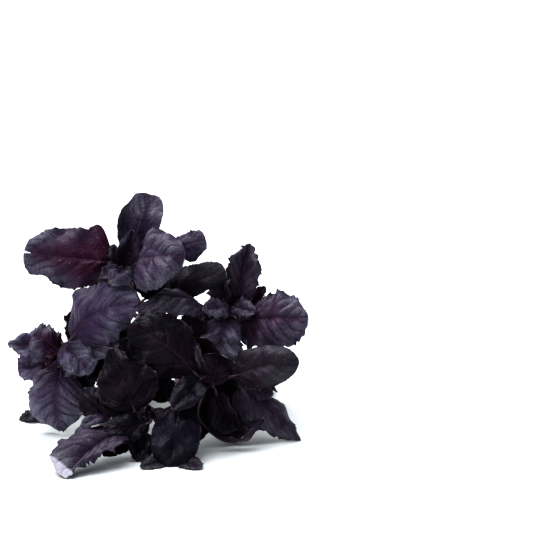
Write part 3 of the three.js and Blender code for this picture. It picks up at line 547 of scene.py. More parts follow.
class MeshParts:
    """Gathers closed shells into one mesh, with named values at each of its points."""

    def __init__(self):
        self.points = []
        self.faces = []
        self.values = {}
        self.count = 0

    def add(self, points, faces, **values):
        """Faces index into points. Each value is a number or a colour for all points, or one number for
        each of them."""
        self.points.append(points)
        self.faces.extend([corner + self.count for corner in face] for face in faces)
        for name, value in values.items():
            value = np.asarray(value, float)
            shape = (len(points), 3) if value.shape == (3,) else (len(points),)
            self.values.setdefault(name, []).append(np.broadcast_to(value, shape))
        self.count += len(points)

    def build(self, name, material):
        """Makes the piece from what was gathered: it rides on the bunch and takes its finish slot."""
        mesh = bpy.data.meshes.new(name)
        mesh.from_pydata(np.concatenate(self.points).tolist(), [], self.faces)
        for key, parts in self.values.items():
            value = np.concatenate(parts)
            if value.ndim == 2:
                colours = np.concatenate([value, np.ones((len(value), 1))], axis=1)
                mesh.attributes.new(key, "FLOAT_COLOR", "POINT").data.foreach_set("color", colours.ravel())
            else:
                mesh.attributes.new(key, "FLOAT", "POINT").data.foreach_set("value", value)
        mesh.shade_smooth()
        mesh.materials.append(material)
        piece = bpy.data.objects.new(name, mesh)
        bpy.context.scene.collection.objects.link(piece)
        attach(piece, BODY)
        return piece


def shell_faces(columns, rows):
    """Quads that close an upper and a lower grid of (columns + 1) x (rows + 1) points into one shell."""
    index = np.arange((columns + 1) * (rows + 1)).reshape(columns + 1, rows + 1)
    a, b = index[:-1, :-1], index[:-1, 1:]
    c, d = index[1:, 1:], index[1:, :-1]
    upper = np.stack([a, b, c, d], axis=-1).reshape(-1, 4)
    below = index.size
    lower = upper[:, ::-1] + below
    rim = np.array([*index[:, 0], *index[-1, 1:], *index[-2::-1, -1], *index[0, -2:0:-1]])
    following = np.roll(rim, -1)
    wall = np.stack([rim, following, following + below, rim + below], axis=-1)
    return np.concatenate([upper, lower, wall]).tolist()


def toothed_margin(surface, sign, t, settings, rng):
    """How far the margin stands out at each t, in millimetres, and how many teeth lie before it."""
    margin = surface.point(t, np.full_like(t, sign))
    steps = np.linalg.norm(np.diff(margin, axis=0), axis=1)
    length = np.concatenate([[0], np.cumsum(steps)])
    size = min(1, surface.width / FULL_TEETH_WIDTH)
    pitch = settings.tooth_pitch / MILLIMETRE * (SMALLEST_PITCH + (1 - SMALLEST_PITCH) * size)
    teeth = max(FEWEST_TEETH, round(length[-1] / pitch))
    place = teeth * length / length[-1]
    unevenness = 0.3 * np.sin(place * 1.9 + any_phase(rng)) + 0.2 * np.sin(place * 3.7)
    place = place + unevenness
    within = np.mod(place, 1)
    rising = (within / TOOTH_POINT) ** TOOTH_CURVE
    falling = (1 - within) / (1 - TOOTH_POINT)
    flank = np.where(within < TOOTH_POINT, rising, falling)
    # Heights and nibbles have a few values to spare at both ends, which uneven teeth may reach.
    height = rng.uniform(*TOOTH_HEIGHTS, teeth + 4)[np.floor(place).astype(int) + 1]
    nibble = rng.uniform(-1, 1, teeth + 6)
    nibble = np.interp(np.clip(place, 0, teeth + 1), np.arange(teeth + 6) - 1.0, nibble)
    depth = settings.tooth_depth / MILLIMETRE * (SMALLEST_DEPTH + (1 - SMALLEST_DEPTH) * size)
    depth = depth * surface.ragged * smooth_rise(t, 0.03, 0.2)
    return depth * (height * (flank - TOOTH_FOOT) + NIBBLES * nibble), place


class BladeGrid:
    """Points of one blade. along and across are their places in shares, the teeth included. share is the
    place between midrib and margin without the teeth, teeth counts those before a point, and half is the
    half width there in millimetres."""

    def __init__(self, surface, settings, rng):
        self.columns, self.rows = by_size(BLADE_GRIDS, surface.width)
        spacing = np.linspace(0, 1, self.columns + 1)
        crowded = (1 - CROWDING) * spacing + CROWDING * smooth_rise(spacing, 0, 1)
        t = BLADE_START + (BLADE_END - BLADE_START) * crowded
        self.along, v = np.meshgrid(t, np.linspace(-1, 1, self.rows + 1), indexing="ij")
        self.half = surface.half_width(self.along, v)
        self.share = np.abs(v)
        self.teeth = np.zeros_like(v)
        reach = np.zeros_like(v)
        for sign in (-1, 1):
            stands_out, place = toothed_margin(surface, sign, t, settings, rng)
            stands_out = np.minimum(stands_out[:, None], WIDEST_TOOTH * self.half)
            side = v * sign > 0
            reach = np.where(side, stands_out / np.maximum(self.half, NARROWEST_HALF), reach)
            self.teeth = np.where(side, place[:, None], self.teeth)
        self.across = v * (1 + reach * self.share**5)
        self.along_mm = self.along * surface.length
        self.across_mm = self.across * self.half


def vein_places(grid, pairs, rng):
    """A number at each point of a blade that is whole on every lateral vein."""
    turns = WAVER_TURNS_ACROSS * grid.share + WAVER_TURNS_ALONG * grid.along
    waver = np.sin(TURN * turns + any_phase(rng) + WAVER_LAG * np.sign(grid.across))
    place = pairs * (grid.along - VEIN_SLANT * grid.share - VEIN_BEND * grid.share**2)
    place = place + VEIN_STAGGER * grid.across
    return place + VEIN_WAVER * waver * smooth_rise(grid.share, 0.05, 0.5)


def puckers_and_blisters(grid, place, rng):
    """Swellings between the lateral veins, each with a strength of its own, and humps along them."""
    half_start = FIELDS_IN_A_HALF * (grid.across < 0)
    field = np.floor(place).astype(int) + FIRST_FIELD + half_start
    ends = np.sin(math.pi * np.clip(grid.along, 0, 1)) ** 0.6
    arch = np.abs(np.sin(math.pi * place)) ** 0.8
    inside = smooth_rise(grid.share, 0, 0.22) * (1 - smooth_rise(grid.share, 0.62, 1))
    pucker = arch * rng.uniform(*PUCKER_STRENGTHS, FIELDS)[field] * inside * ends
    humps = np.sin(TURN * (HUMPS_ACROSS * grid.share + rng.uniform(0, 1, FIELDS)[field]))
    inside = smooth_rise(grid.share, 0.1, 0.4) * (1 - smooth_rise(grid.share, 0.8, 1))
    return pucker, arch * humps * inside * ends


def bends_and_creases(surface, grid, rng):
    """Slow waves in any direction and a few sharp bends, in millimetres."""
    height = np.zeros_like(grid.along)
    for _ in range(BENDS):
        heading = rng.uniform(0, TURN)
        wavelength = rng.uniform(*BEND_LENGTHS)
        travel = grid.along_mm * math.cos(heading) + grid.across_mm * math.sin(heading)
        height += rng.uniform(*BEND_HEIGHTS) * np.sin(TURN * travel / wavelength + any_phase(rng))
    for _ in range(CREASES):
        heading = rng.uniform(-1.1, 1.1)
        ahead = (grid.along - rng.uniform(*CREASE_PLACES)) * surface.length * math.cos(heading)
        aside = (grid.across_mm - rng.uniform(-0.3, 0.3) * surface.width) * math.sin(heading)
        away = np.sqrt((ahead + aside) ** 2 + CREASE_ROUNDING)
        height -= rng.uniform(*CREASE_DEPTHS) * np.exp(-away / rng.uniform(*CREASE_WIDTHS))
    return height * smooth_rise(grid.along, 0, 0.2)


def leaf_relief(surface, grid, place, rng):
    """Height of a blade's puckers, ruffles and bends, and how near each point is to a pucker's crest."""
    pucker, blister = puckers_and_blisters(grid, place, rng)
    ruffle = np.sin(TURN * grid.teeth / RUFFLE_TEETH + any_phase(rng))
    ruffle = grid.share**4 * ruffle * smooth_rise(grid.along, 0.05, 0.3)
    scaled = PUCKER_HEIGHT * pucker + BLISTER_HEIGHT * blister + PUCKERED_RUFFLE * ruffle
    height = surface.pucker * scaled + PLAIN_RUFFLE * ruffle + bends_and_creases(surface, grid, rng)
    size = min(LARGEST_RELIEF, surface.width / FULL_RELIEF_WIDTH)
    return size * height, np.clip(pucker + 0.25 * blister, 0, 1)


def settled(points):
    """Eases points that lie under the surface onto it."""
    lift = points[..., 2] - FLOOR_GAP
    points[..., 2] = FLOOR_GAP + 0.5 * (lift + np.sqrt(lift**2 + LANDING))
    return points


def blade_sides(surface, grid, middle, from_vein, settings):
    """Points of a blade's upper and then its lower side: grooved over the veins above, ribbed below."""
    normal = unit(np.cross(np.gradient(middle, axis=1), np.gradient(middle, axis=0)))
    size = min(1, 0.3 + surface.width / 50)
    ends = smooth_rise(grid.along, 0, 0.03) * (1 - smooth_rise(grid.along, 0.96, 1)) * size
    lateral = np.exp(-((from_vein / LATERAL_WIDTH) ** 2)) * (1 - smooth_rise(grid.share, 0.6, 0.95))
    lateral = lateral * settings.vein_depth / MILLIMETRE
    midrib = np.exp(-((grid.across_mm / MIDRIB_WIDTH) ** 2)) * (1 - MIDRIB_TAPER * grid.along)
    groove = (lateral + MIDRIB_GROOVE * midrib) * ends
    rib = (LATERAL_RIB * lateral + MIDRIB_RIB * midrib) * ends
    half_thick = settings.blade_thickness / MILLIMETRE / 2 * (1 - 0.4 * smooth_rise(grid.share, 0.8, 1))
    upper = middle + (half_thick - groove)[..., None] * normal
    lower = middle - (half_thick + rib)[..., None] * normal
    points = np.concatenate([upper.reshape(-1, 3), lower.reshape(-1, 3)])
    points[:, 2] = np.maximum(points[:, 2], LOWEST_POINT)
    return points


def bloomed(tint):
    """A leaf's colour under its bloom and painted sheen: lighter and greyer."""
    grey = np.mean(tint) * np.array(BLOOM_CAST)
    return BLOOM_LIGHTENS * ((1 - BLOOM_GREYS) * np.array(tint) + BLOOM_GREYS * grey)


def bare(tint):
    """A leaf's colour where neither bloom nor painted sheen lies: darker and redder."""
    return np.array(tint) * np.array(BARE_CAST)


def rib_tone(tint, blush):
    """How far a midrib stands out in colour: hardly on dark leaves, most on those with a blush."""
    return min(1, 0.25 + 4 * np.mean(tint) + 0.5 * blush)


def closeness(points, growing_tip):
    """1 at a stem's growing tip, falling to 0 away from it."""
    return np.exp(-((np.linalg.norm(points - growing_tip, axis=-1) / TIP_SHADE_REACH) ** 2))


def add_blade(parts, row, index, growing_tip, settings, palette, rng):
    """One closed blade, with what its finish is worked out from."""
    surface = LeafSurface(row, index)
    grid = BladeGrid(surface, settings, rng)
    (pairs,) = by_size(VEIN_PAIRS, surface.length)
    gap = surface.length / pairs
    place = vein_places(grid, pairs, rng)
    relief, crest = leaf_relief(surface, grid, place, rng)
    middle = settled(surface.point(grid.along, grid.across, relief))
    from_vein = np.abs(np.mod(place + 0.5, 1) - 0.5) * gap * ACROSS_SLANT
    tint = palette[surface.tint]
    turned = smooth_rise(grid.along + 0.03 * grid.across, surface.turned_tip, surface.turned_tip + TURN_OVER)
    changing = {
        "turned": turned,
        "along_share": grid.along,
        "across_share": grid.across,
        "along_mm": grid.along_mm,
        "across_mm": grid.across_mm,
        "vein_place": place,
        "crest": crest,
        # heart weights the painted shade near the growing tip.
        "heart": closeness(middle, growing_tip),
    }
    parts.add(
        to_metres(blade_sides(surface, grid, middle, from_vein, settings)),
        shell_faces(grid.columns, grid.rows),
        **{name: np.tile(field.ravel(), 2) for name, field in changing.items()},
        underside=np.repeat([0.0, 1.0], grid.along.size),
        bare=bare(tint),
        bloomed=bloomed(tint),
        blush=surface.blush,
        dull=float(surface.tint == "painted_shade_black"),
        pale_rim=float(np.mean(tint) < DARK_LEAF),
        rib_tone=rib_tone(tint, surface.blush),
        specked=min(1, 2.5 * surface.blush),
        seed=rng.uniform(0, 100),
        vein_gap=gap,
    )


def bezier(points, t):
    """A curve of any degree through its first and last point, and its direction."""
    t = np.asarray(t, float)[:, None]
    places = [np.broadcast_to(np.asarray(p, float), (len(t), 3)) for p in points]
    while len(places) > 2:
        places = [(1 - t) * a + t * b for a, b in zip(places, places[1:])]
    start, end = places
    return (1 - t) * start + t * end, unit(end - start)


def carried_frames(directions, first_up):
    """Two vectors across each direction of a curve, carried along it without twist."""
    ups = []
    up = np.asarray(first_up, float)
    for direction in directions:
        up = unit(up - up.dot(direction) * direction)
        ups.append(up)
    ups = np.array(ups)
    return ups, np.cross(directions, ups)


def tube_faces(rings, sides):
    """Quads between the rings of a tube, and a face at each end."""
    faces = []
    for ring in range(rings - 1):
        for side in range(sides):
            a = ring * sides + side
            b = ring * sides + (side + 1) % sides
            faces.append([a, b, b + sides, a + sides])
    faces.append(list(range(sides))[::-1])
    faces.append(list(range((rings - 1) * sides, rings * sides)))
    return faces


def add_tube(parts, centres, directions, first_up, radii, section, caps, growing_tip):
    """A closed tube. section gives the radius share at each angle, and caps are those of the start and of
    the end."""
    ups, sides = carried_frames(directions, first_up)
    angles = np.linspace(0, TURN, len(section), endpoint=False)
    lengths = np.concatenate([[0], np.cumsum(np.linalg.norm(np.diff(centres, axis=0), axis=1))])
    last = len(centres) - 1
    start_cap, end_cap = caps
    rings = [(0, share, -out, 1 - share) for share, out in reversed(start_cap)]
    rings += [(i, 1, 0, 0) for i in range(last + 1)]
    rings += [(last, share, out, 1 - share) for share, out in end_cap]
    points = []
    for i, share, out, _ in rings:
        radius = (section * radii[i] * share)[:, None]
        round_it = np.cos(angles)[:, None] * ups[i] + np.sin(angles)[:, None] * sides[i]
        points.append(centres[i] + out * directions[i] + radius * round_it)
    points = np.concatenate(points)
    points[:, 2] = np.maximum(points[:, 2], LOWEST_POINT)
    turns = np.tile(angles, len(rings))
    parts.add(
        to_metres(points),
        tube_faces(len(rings), len(section)),
        core=np.repeat([float(depth) for _, _, _, depth in rings], len(section)),
        along_mm=np.repeat([lengths[i] for i, _, _, _ in rings], len(section)),
        turn_x=np.cos(turns),
        turn_y=np.sin(turns),
        # heart weights the painted shade near the growing tip.
        heart=closeness(points, growing_tip),
    )


def square_section():
    """Radius shares of a four-cornered stem with a shallow groove along each side."""
    angles = np.linspace(0, TURN, STEM_SIDES, endpoint=False)
    return 1 - STEM_GROOVE * np.cos(2 * angles) ** 2


def stalk_section():
    """Radius shares of a stalk with a channel along its upper side."""
    angles = np.linspace(0, TURN, STALK_SIDES, endpoint=False)
    from_top = np.minimum(angles, TURN - angles)
    return 1 - STALK_CHANNEL * np.exp(-((from_top / 0.5) ** 2))


def add_stem(parts, stem, settings):
    """The square stem, swollen where leaves join it, from its cut end to its tip."""
    share = np.linspace(0, 1, STEM_RINGS)
    centres, directions = bezier(stem["path"], share)
    thick, thin = settings.radius_at_cut / MILLIMETRE, settings.radius_at_tip / MILLIMETRE
    radii = thick + (thin - thick) * share
    for row in stem["leaves"]:
        if row["stalk_from"] < ROSETTE_START:
            joint = np.exp(-(((share - row["stalk_from"]) / JOINT_REACH) ** 2))
            radii = radii * (1 + JOINT_SWELLING * joint)
    caps = (CUT_CAP, TIP_CAP)
    add_tube(parts, centres, directions, (0, 0, 1), radii, square_section(), caps, stem["path"][-1])


def add_stalk(parts, stem, surface, settings):
    """A stalk from inside the stem to the blade, which then sinks into the midrib."""
    roots, headings = bezier(stem["path"], [surface.stalk_from])
    root, heading = roots[0], headings[0]
    rib = surface.midrib(np.array([0.0, STALK_ROOT]))
    reach = np.linalg.norm(surface.start - root)
    leaving = surface.along
    if reach > SHORTEST_STALK:
        leaving = unit(unit(surface.start - root) + STALK_FORWARD * heading)
    arriving = unit(rib[1] - rib[0])
    grip = STALK_GRIP * reach
    path = [root, root + grip * leaving, surface.start - grip * arriving, surface.start]
    free, free_ways = bezier(path, np.linspace(0, 1, STALK_RINGS))
    sunk = surface.midrib(np.linspace(0, STALK_ROOT, SUNK_RINGS + 1)[1:])
    sunk = sunk - surface.up * np.linspace(*SUNK_DEPTHS, SUNK_RINGS)[:, None]
    centres = np.concatenate([free, sunk])
    ways = np.concatenate([free_ways, np.tile(arriving, (SUNK_RINGS, 1))])
    rings = np.arange(len(centres))
    thickness = np.interp(rings, [0, 2, STALK_RINGS - 1, rings[-1]], STALK_THICKNESS)
    scale = 0.55 + 0.45 * min(1, surface.width / FULL_STALK_WIDTH)
    radii = thickness * settings.stalk_radius / MILLIMETRE * scale
    caps = (STALK_CAP, STALK_CAP)
    add_tube(parts, centres, ways, surface.up, radii, stalk_section(), caps, stem["path"][-1])


def bud_rows(stem, stem_index):
    """Small folded leaves that close round the growing tip, each one turned on from the one before."""
    tips, headings = bezier(stem["path"], [1.0])
    tip, heading = tips[0], headings[0]
    ups, sides = carried_frames(headings, (0, 0, 1))
    for k in range(BUDS_PER_TIP):
        turn = k * GOLDEN_ANGLE + stem_index
        out = math.cos(turn) * ups[0] + math.sin(turn) * sides[0]
        length = BUD_LENGTH - BUD_SHRINKS_BY * k
        base = tip + BUD_OFFSET * out
        end = base + length * unit(heading + (BUD_LEAN - BUD_CLOSES_BY * k) * out)
        face = unit(heading - out)
        tint = BUD_TINTS[k % len(BUD_TINTS)]
        place = (tuple(base), tuple(end), tuple(face))
        arch = BUD_ARCH * length
        yield leaf(f"bud_{k}", 1, *place, length / 2, tint, BUD_BLUSH, arch=arch, **BUD_SHAPE)


class Value:
    """A number that changes over a surface. Arithmetic on it adds Math nodes to its finish."""

    def __init__(self, finish, socket):
        self.finish = finish
        self.socket = socket

    def maths(self, operation, *operands):
        return self.finish.node("ShaderNodeMath", {"operation": operation}, dict(enumerate(operands)))

    def __add__(self, other):
        return self.maths("ADD", self, other)

    def __sub__(self, other):
        return self.maths("SUBTRACT", self, other)

    def __rsub__(self, other):
        return self.maths("SUBTRACT", other, self)

    def __mul__(self, other):
        return self.maths("MULTIPLY", self, other)

    def __abs__(self):
        return self.maths("ABSOLUTE", self)

    __radd__ = __add__
    __rmul__ = __mul__

    def fraction(self):
        return self.maths("FRACT", self)

    def rise(self, low, high):
        """0 below low, 1 above high, and a smooth slope between."""
        sockets = {"Value": self, "From Min": low, "From Max": high}
        return self.finish.node("ShaderNodeMapRange", {"interpolation_type": "SMOOTHSTEP"}, sockets)


class Finish:
    """A material that is written as expressions on values."""

    def __init__(self, name):
        self.material = bpy.data.materials.new(name)
        self.material.use_nodes = True
        self.tree = self.material.node_tree
        self.surface = self.tree.nodes["Principled BSDF"]

    def node(self, kind, settings, sockets, output=0):
        """Adds a node, with its settings first and then its sockets, and gives one of its outputs."""
        made = self.tree.nodes.new(kind)
        for key, value in settings.items():
            setattr(made, key, value)
        for key, value in sockets.items():
            self.feed(made.inputs[key], value)
        return Value(self, made.outputs[output])

    def feed(self, socket, value):
        if isinstance(value, Value):
            self.tree.links.new(value.socket, socket)
        else:
            socket.default_value = value

    def point_value(self, name):
        return self.node("ShaderNodeAttribute", {"attribute_name": name}, {}, "Fac")

    def point_colour(self, name):
        return self.node("ShaderNodeAttribute", {"attribute_name": name}, {}, "Color")

    def mix(self, factor, first, second):
        return self.node("ShaderNodeMix", {"data_type": "RGBA"}, {0: factor, 6: first, 7: second}, 2)

    def place(self, x, y, z):
        return self.node("ShaderNodeCombineXYZ", {}, {"X": x, "Y": y, "Z": z})

    def noise(self, place, scale, detail=2.0):
        sockets = {"Vector": place, "Scale": scale, "Detail": detail}
        return self.node("ShaderNodeTexNoise", {}, sockets, "Fac")

    def cells(self, place, scale, feature="F1"):
        """How far each place is from the middle of its cell, or from its edge."""
        sockets = {"Vector": place, "Scale": scale}
        return self.node("ShaderNodeTexVoronoi", {"feature": feature}, sockets, "Distance")

    def bump(self, height, strength, distance):
        sockets = {"Height": height, "Strength": strength, "Distance": distance}
        return self.node("ShaderNodeBump", {}, sockets)

    def set(self, **sockets):
        """Feeds sockets of the surface by their names in lower case."""
        for name, value in sockets.items():
            self.feed(self.surface.inputs[name.replace("_", " ").title().replace("Ior", "IOR")], value)


def opaque(tint):
    return (*tint, 1)


# Scales of a leaf's patterns, each in waves or cells to a millimetre.
PATCH_SCALE = 0.05
RARE_SCALE = 0.09
MOTTLE_SCALE = 0.11
BROWN_SCALE = 0.23
SPECK_SCALE = 0.3
NET_SCALE = 0.5
FLECK_SCALE = 0.6
GRAIN_SCALE = 1.7

STREAKS_TO_A_VEIN = 4
STREAK_SCALE_ACROSS = 0.14

# The strength everywhere of the bloom with its painted sheen, of the painted highlight on the crests of
# puckers, and of the bloom with its painted sheen towards the margin.
PLAIN_BLOOM_AND_SHEEN = 0.12
CREST_HIGHLIGHT = 0.45
MARGIN_BLOOM_AND_SHEEN = 0.6

# How much each pattern shows on a leaf's upper side. The base, heart and valley amounts are painted shade.
BASE_PAINTED_SHADE = 0.4
TIP_PAINTED_SHADE = 0.85
VALLEY_PAINTED_SHADE = 0.35
GRAIN_SHADE = 0.45
STREAK_SHADE = 0.42
NET_SHOWS = 0.35
LATERAL_SHOWS = 0.55
MIDRIB_SHOWS = 0.65
RIM_SHOWS = 0.75
TURNED_SHOWS = 0.8
BROWN_SHOWS = 0.6
SPECK_SHOWS = 0.55
FLECK_SHOWS = 0.6

# Reach grows along and across the blade, with some mottle. The wine red blush spreads with it, from full
# at the first value to none at the second, and hides part of the grain, the streaks and the net.
REACH_ALONG = 0.75
REACH_ACROSS = 0.5
REACH_MOTTLE = 0.5
BLUSH_SPREAD = (0.32, 1.06)
BLUSH_HIDES_DARK = 0.25
BLUSH_HIDES_NET = 0.2

# Depths of the bumps under the finishes, in metres, and how rough a leaf is.
LEAF_BUMP = 0.00045
STEM_BUMP = 0.0003
LEAF_ROUGHNESS = 0.42


class LeafPattern:
    """What the finish of a leaf is worked out from: its places, noises and veins."""

    def __init__(self, finish):
        across_mm = finish.point_value("across_mm")
        vein_place = finish.point_value("vein_place")
        seed = finish.point_value("seed")
        self.along = finish.point_value("along_share")
        self.across = abs(finish.point_value("across_share"))
        self.from_midrib = abs(across_mm)
        self.place = finish.place(finish.point_value("along_mm"), across_mm, seed)
        self.mottle = finish.noise(self.place, MOTTLE_SCALE, 3.0)
        self.grain = finish.noise(self.place, GRAIN_SCALE, 3.0)
        beside_veins = finish.place(vein_place * STREAKS_TO_A_VEIN, across_mm * STREAK_SCALE_ACROSS, seed)
        self.streaks = finish.noise(beside_veins, 1.0, 3.0)
        self.reach = self.along * REACH_ALONG + self.across * REACH_ACROSS
        self.reach = self.reach + (self.mottle - 0.5) * REACH_MOTTLE
        self.blush = finish.point_value("blush") * (1 - self.reach.rise(*BLUSH_SPREAD))

        from_lateral = abs((vein_place + 0.5).fraction() - 0.5)
        from_lateral = from_lateral * finish.point_value("vein_gap") * ACROSS_SLANT
        self.lateral = (1 - from_lateral.rise(0.04, 0.3)) * (1 - self.across.rise(0.5, 0.95))
        self.midrib = (1 - self.from_midrib.rise(0.15, 0.5)) * (1 - self.along * 0.45)
        self.midrib = self.midrib * finish.point_value("rib_tone")
        self.net_edge = finish.cells(self.place, NET_SCALE, "DISTANCE_TO_EDGE")
        self.net = 1 - self.net_edge.rise(0.02, 0.16)


def upper_ground(finish, leaf, settings):
    """The upper side without its veins: a grey lilac bloom with painted sheen towards the margin, a painted
    highlight on pucker crests, wine red round the base, dark grain and streaks, and painted shade at the
    leaf's base, along the midrib's valley and near the growing tip."""
    patches = finish.noise(leaf.place, PATCH_SCALE, 2.0).rise(0.25, 0.6)
    # The bloom is partly the leaf's grey bloom, partly painted sheen, and on the crests of puckers a painted
    # highlight.
    bloom_and_sheen = PLAIN_BLOOM_AND_SHEEN + finish.point_value("crest").rise(0.0, 0.75) * CREST_HIGHLIGHT
    bloom_and_sheen = bloom_and_sheen + leaf.reach.rise(0.35, 1.2) * MARGIN_BLOOM_AND_SHEEN
    bloom_and_sheen = bloom_and_sheen * patches * settings.bloom_and_sheen * (1 - leaf.blush)
    colour = finish.mix(bloom_and_sheen, finish.point_colour("bare"), finish.point_colour("bloomed"))
    colour = finish.mix(leaf.blush, colour, opaque(settings.wine))
    # Painted shade: darker at each leaf's base, along the valley of the midrib, and near the growing tip;
    # the grain and streaks are the leaf's own dark marks.
    base = 1 - (leaf.along + (leaf.mottle - 0.5) * 0.3).rise(0.02, 0.38)
    midrib_valley_shade = 1 - (leaf.from_midrib + (leaf.mottle - 0.5) * 3).rise(0.0, 4.5)
    shades = (
        base * (1 - finish.point_value("blush")) * BASE_PAINTED_SHADE,
        finish.point_value("heart") * TIP_PAINTED_SHADE,
        midrib_valley_shade * VALLEY_PAINTED_SHADE,
        (leaf.grain - 0.35).rise(0.1, 0.5) * (GRAIN_SHADE - leaf.blush * BLUSH_HIDES_DARK),
        (leaf.streaks - 0.48).rise(0.0, 0.2) * (STREAK_SHADE - leaf.blush * BLUSH_HIDES_DARK),
    )
    for amount in shades:
        colour = finish.mix(amount, colour, opaque(settings.shade))
    return colour


def with_veins(finish, leaf, colour, settings):
    """Laterals and a fine net, dark but light where the leaf is wine red, a midrib, and a thin rim."""
    shade, vein = opaque(settings.shade), opaque(settings.vein)
    fine = leaf.net * (NET_SHOWS - leaf.blush * BLUSH_HIDES_NET)
    fine = fine + leaf.lateral * leaf.mottle.rise(0.3, 0.65) * LATERAL_SHOWS
    colour = finish.mix(fine, colour, finish.mix(leaf.blush, shade, vein))
    colour = finish.mix(leaf.midrib * MIDRIB_SHOWS, colour, vein)
    rim = leaf.across.rise(0.94, 0.99) * finish.noise(leaf.place, 0.3, 1.0).rise(0.3, 0.55)
    rim_colour = finish.mix(finish.point_value("pale_rim") * 0.5, shade, vein)
    return finish.mix(rim * RIM_SHOWS, colour, rim_colour)


def with_marks(finish, leaf, colour, settings):
    """A pale turned tip, dry brown edges, a few pale specks, and flecks near the base of a red leaf."""
    brown = finish.noise(leaf.place, BROWN_SCALE, 2.0).rise(0.56, 0.7)
    brown = brown * (leaf.across + leaf.grain * 0.06).rise(0.985, 1.01)
    speck = 1 - finish.cells(leaf.place, SPECK_SCALE).rise(0.08, 0.16)
    rare = finish.noise(leaf.place, RARE_SCALE, 1.0).rise(0.54, 0.6) * finish.point_value("specked")
    fleck = 1 - finish.cells(leaf.place, FLECK_SCALE).rise(0.16, 0.3)
    fleck = fleck * leaf.blush * (1 - leaf.along.rise(0.12, 0.3))
    fleck = fleck * finish.noise(leaf.place, 0.25, 1.0).rise(0.5, 0.6)
    colour = finish.mix(finish.point_value("turned") * TURNED_SHOWS, colour, opaque(settings.turned))
    colour = finish.mix(brown * BROWN_SHOWS, colour, opaque(settings.edge))
    colour = finish.mix(speck * rare * SPECK_SHOWS, colour, opaque(settings.speck))
    return finish.mix(fleck * FLECK_SHOWS, colour, opaque(settings.speck))


def under_colour(finish, leaf, settings):
    """The duller underside, with paler veins."""
    patches = (leaf.mottle + leaf.grain * 0.4).rise(0.4, 0.9)
    colour = finish.mix(patches, opaque(settings.under), opaque(settings.under_olive))
    veins = leaf.lateral * 0.5 + leaf.midrib * 0.7 + leaf.net * 0.25
    return finish.mix(veins, colour, opaque(settings.under_vein))


def leaf_finish(settings):
    """Satin leaf, purple grey to nearly black above and duller below, with a bump of fine veins."""
    finish = Finish("basil_leaf")
    leaf = LeafPattern(finish)
    below = finish.point_value("underside")
    colour = upper_ground(finish, leaf, settings)
    colour = with_veins(finish, leaf, colour, settings)
    colour = with_marks(finish, leaf, colour, settings)
    colour = finish.mix(below, colour, under_colour(finish, leaf, settings))
    rough = LEAF_ROUGHNESS + (leaf.mottle - 0.5) * 0.25 + (leaf.grain - 0.5) * 0.12
    rough = rough + leaf.blush * 0.12 + below * 0.12 + finish.point_value("dull") * 0.4
    height = leaf.net_edge.rise(0.0, 0.35) * (0.45 - below * 0.75)
    height = height + leaf.grain * 0.12 - (leaf.lateral + leaf.midrib) * 0.3
    finish.set(base_color=colour, roughness=rough, normal=finish.bump(height, 0.5, LEAF_BUMP))
    finish.set(specular_ior_level=0.16, specular_tint=opaque(settings.gloss))
    finish.set(sheen_weight=0.015, sheen_roughness=0.4, sheen_tint=opaque(settings.sheen))
    return finish.material


def stem_finish(settings):
    """Mauve stems with fine lengthwise streaks, a pale moist core at the cut, and painted shade near a
    growing tip.
    """
    finish = Finish("basil_stem")
    along = finish.point_value("along_mm")
    turn_x, turn_y = finish.point_value("turn_x"), finish.point_value("turn_y")
    core = finish.point_value("core")
    streaks = finish.noise(finish.place(turn_x * 3, turn_y * 3, along * 0.06), 1.5, 4.0)
    patches = finish.noise(finish.place(turn_x, turn_y, along * 0.12), 0.9, 2.0)
    colour = finish.mix(streaks.rise(0.35, 0.65), opaque(settings.mauve), opaque(settings.dark_mauve))
    layers = (
        (patches.rise(0.55, 0.75) * 0.45, settings.green),
        (core.rise(0.06, 0.16), settings.green),
        (core.rise(0.25, 0.6), settings.pith),
        (finish.point_value("heart") * TIP_PAINTED_SHADE, settings.tip_painted_shade),
    )
    for amount, tint in layers:
        colour = finish.mix(amount, colour, opaque(tint))
    height = streaks + finish.noise(finish.place(turn_x, turn_y, along), 2.5, 2.0) * 0.5
    finish.set(base_color=colour, roughness=0.42 + core * 0.2, normal=finish.bump(height, 0.4, STEM_BUMP))
    finish.set(specular_ior_level=0.5, sheen_weight=0.1, sheen_roughness=0.5)
    return finish.material


def floor_finish(settings):
    """A plain pale surface with the faintest unevenness."""
    finish = Finish("studio_floor")
    tone = finish.noise(finish.node("ShaderNodeNewGeometry", {}, {}, "Position"), 3.0)
    darker = tuple(0.985 * channel for channel in settings.floor_colour)
    finish.set(base_color=finish.mix(tone, opaque(settings.floor_colour), opaque(darker)))
    finish.set(roughness=0.75 + tone * 0.1, specular_ior_level=0.2)
    return finish.material


def length_setting(name, description, default):
    return FloatProperty(name=name, description=description, default=default, min=0, unit="LENGTH")


def colour_setting(name, description, default):
    return FloatVectorProperty(name=name, description=description, default=default, size=3, subtype="COLOR")


def light_setting(name, description, default):
    return FloatProperty(name=name, description=description, default=default, min=0)


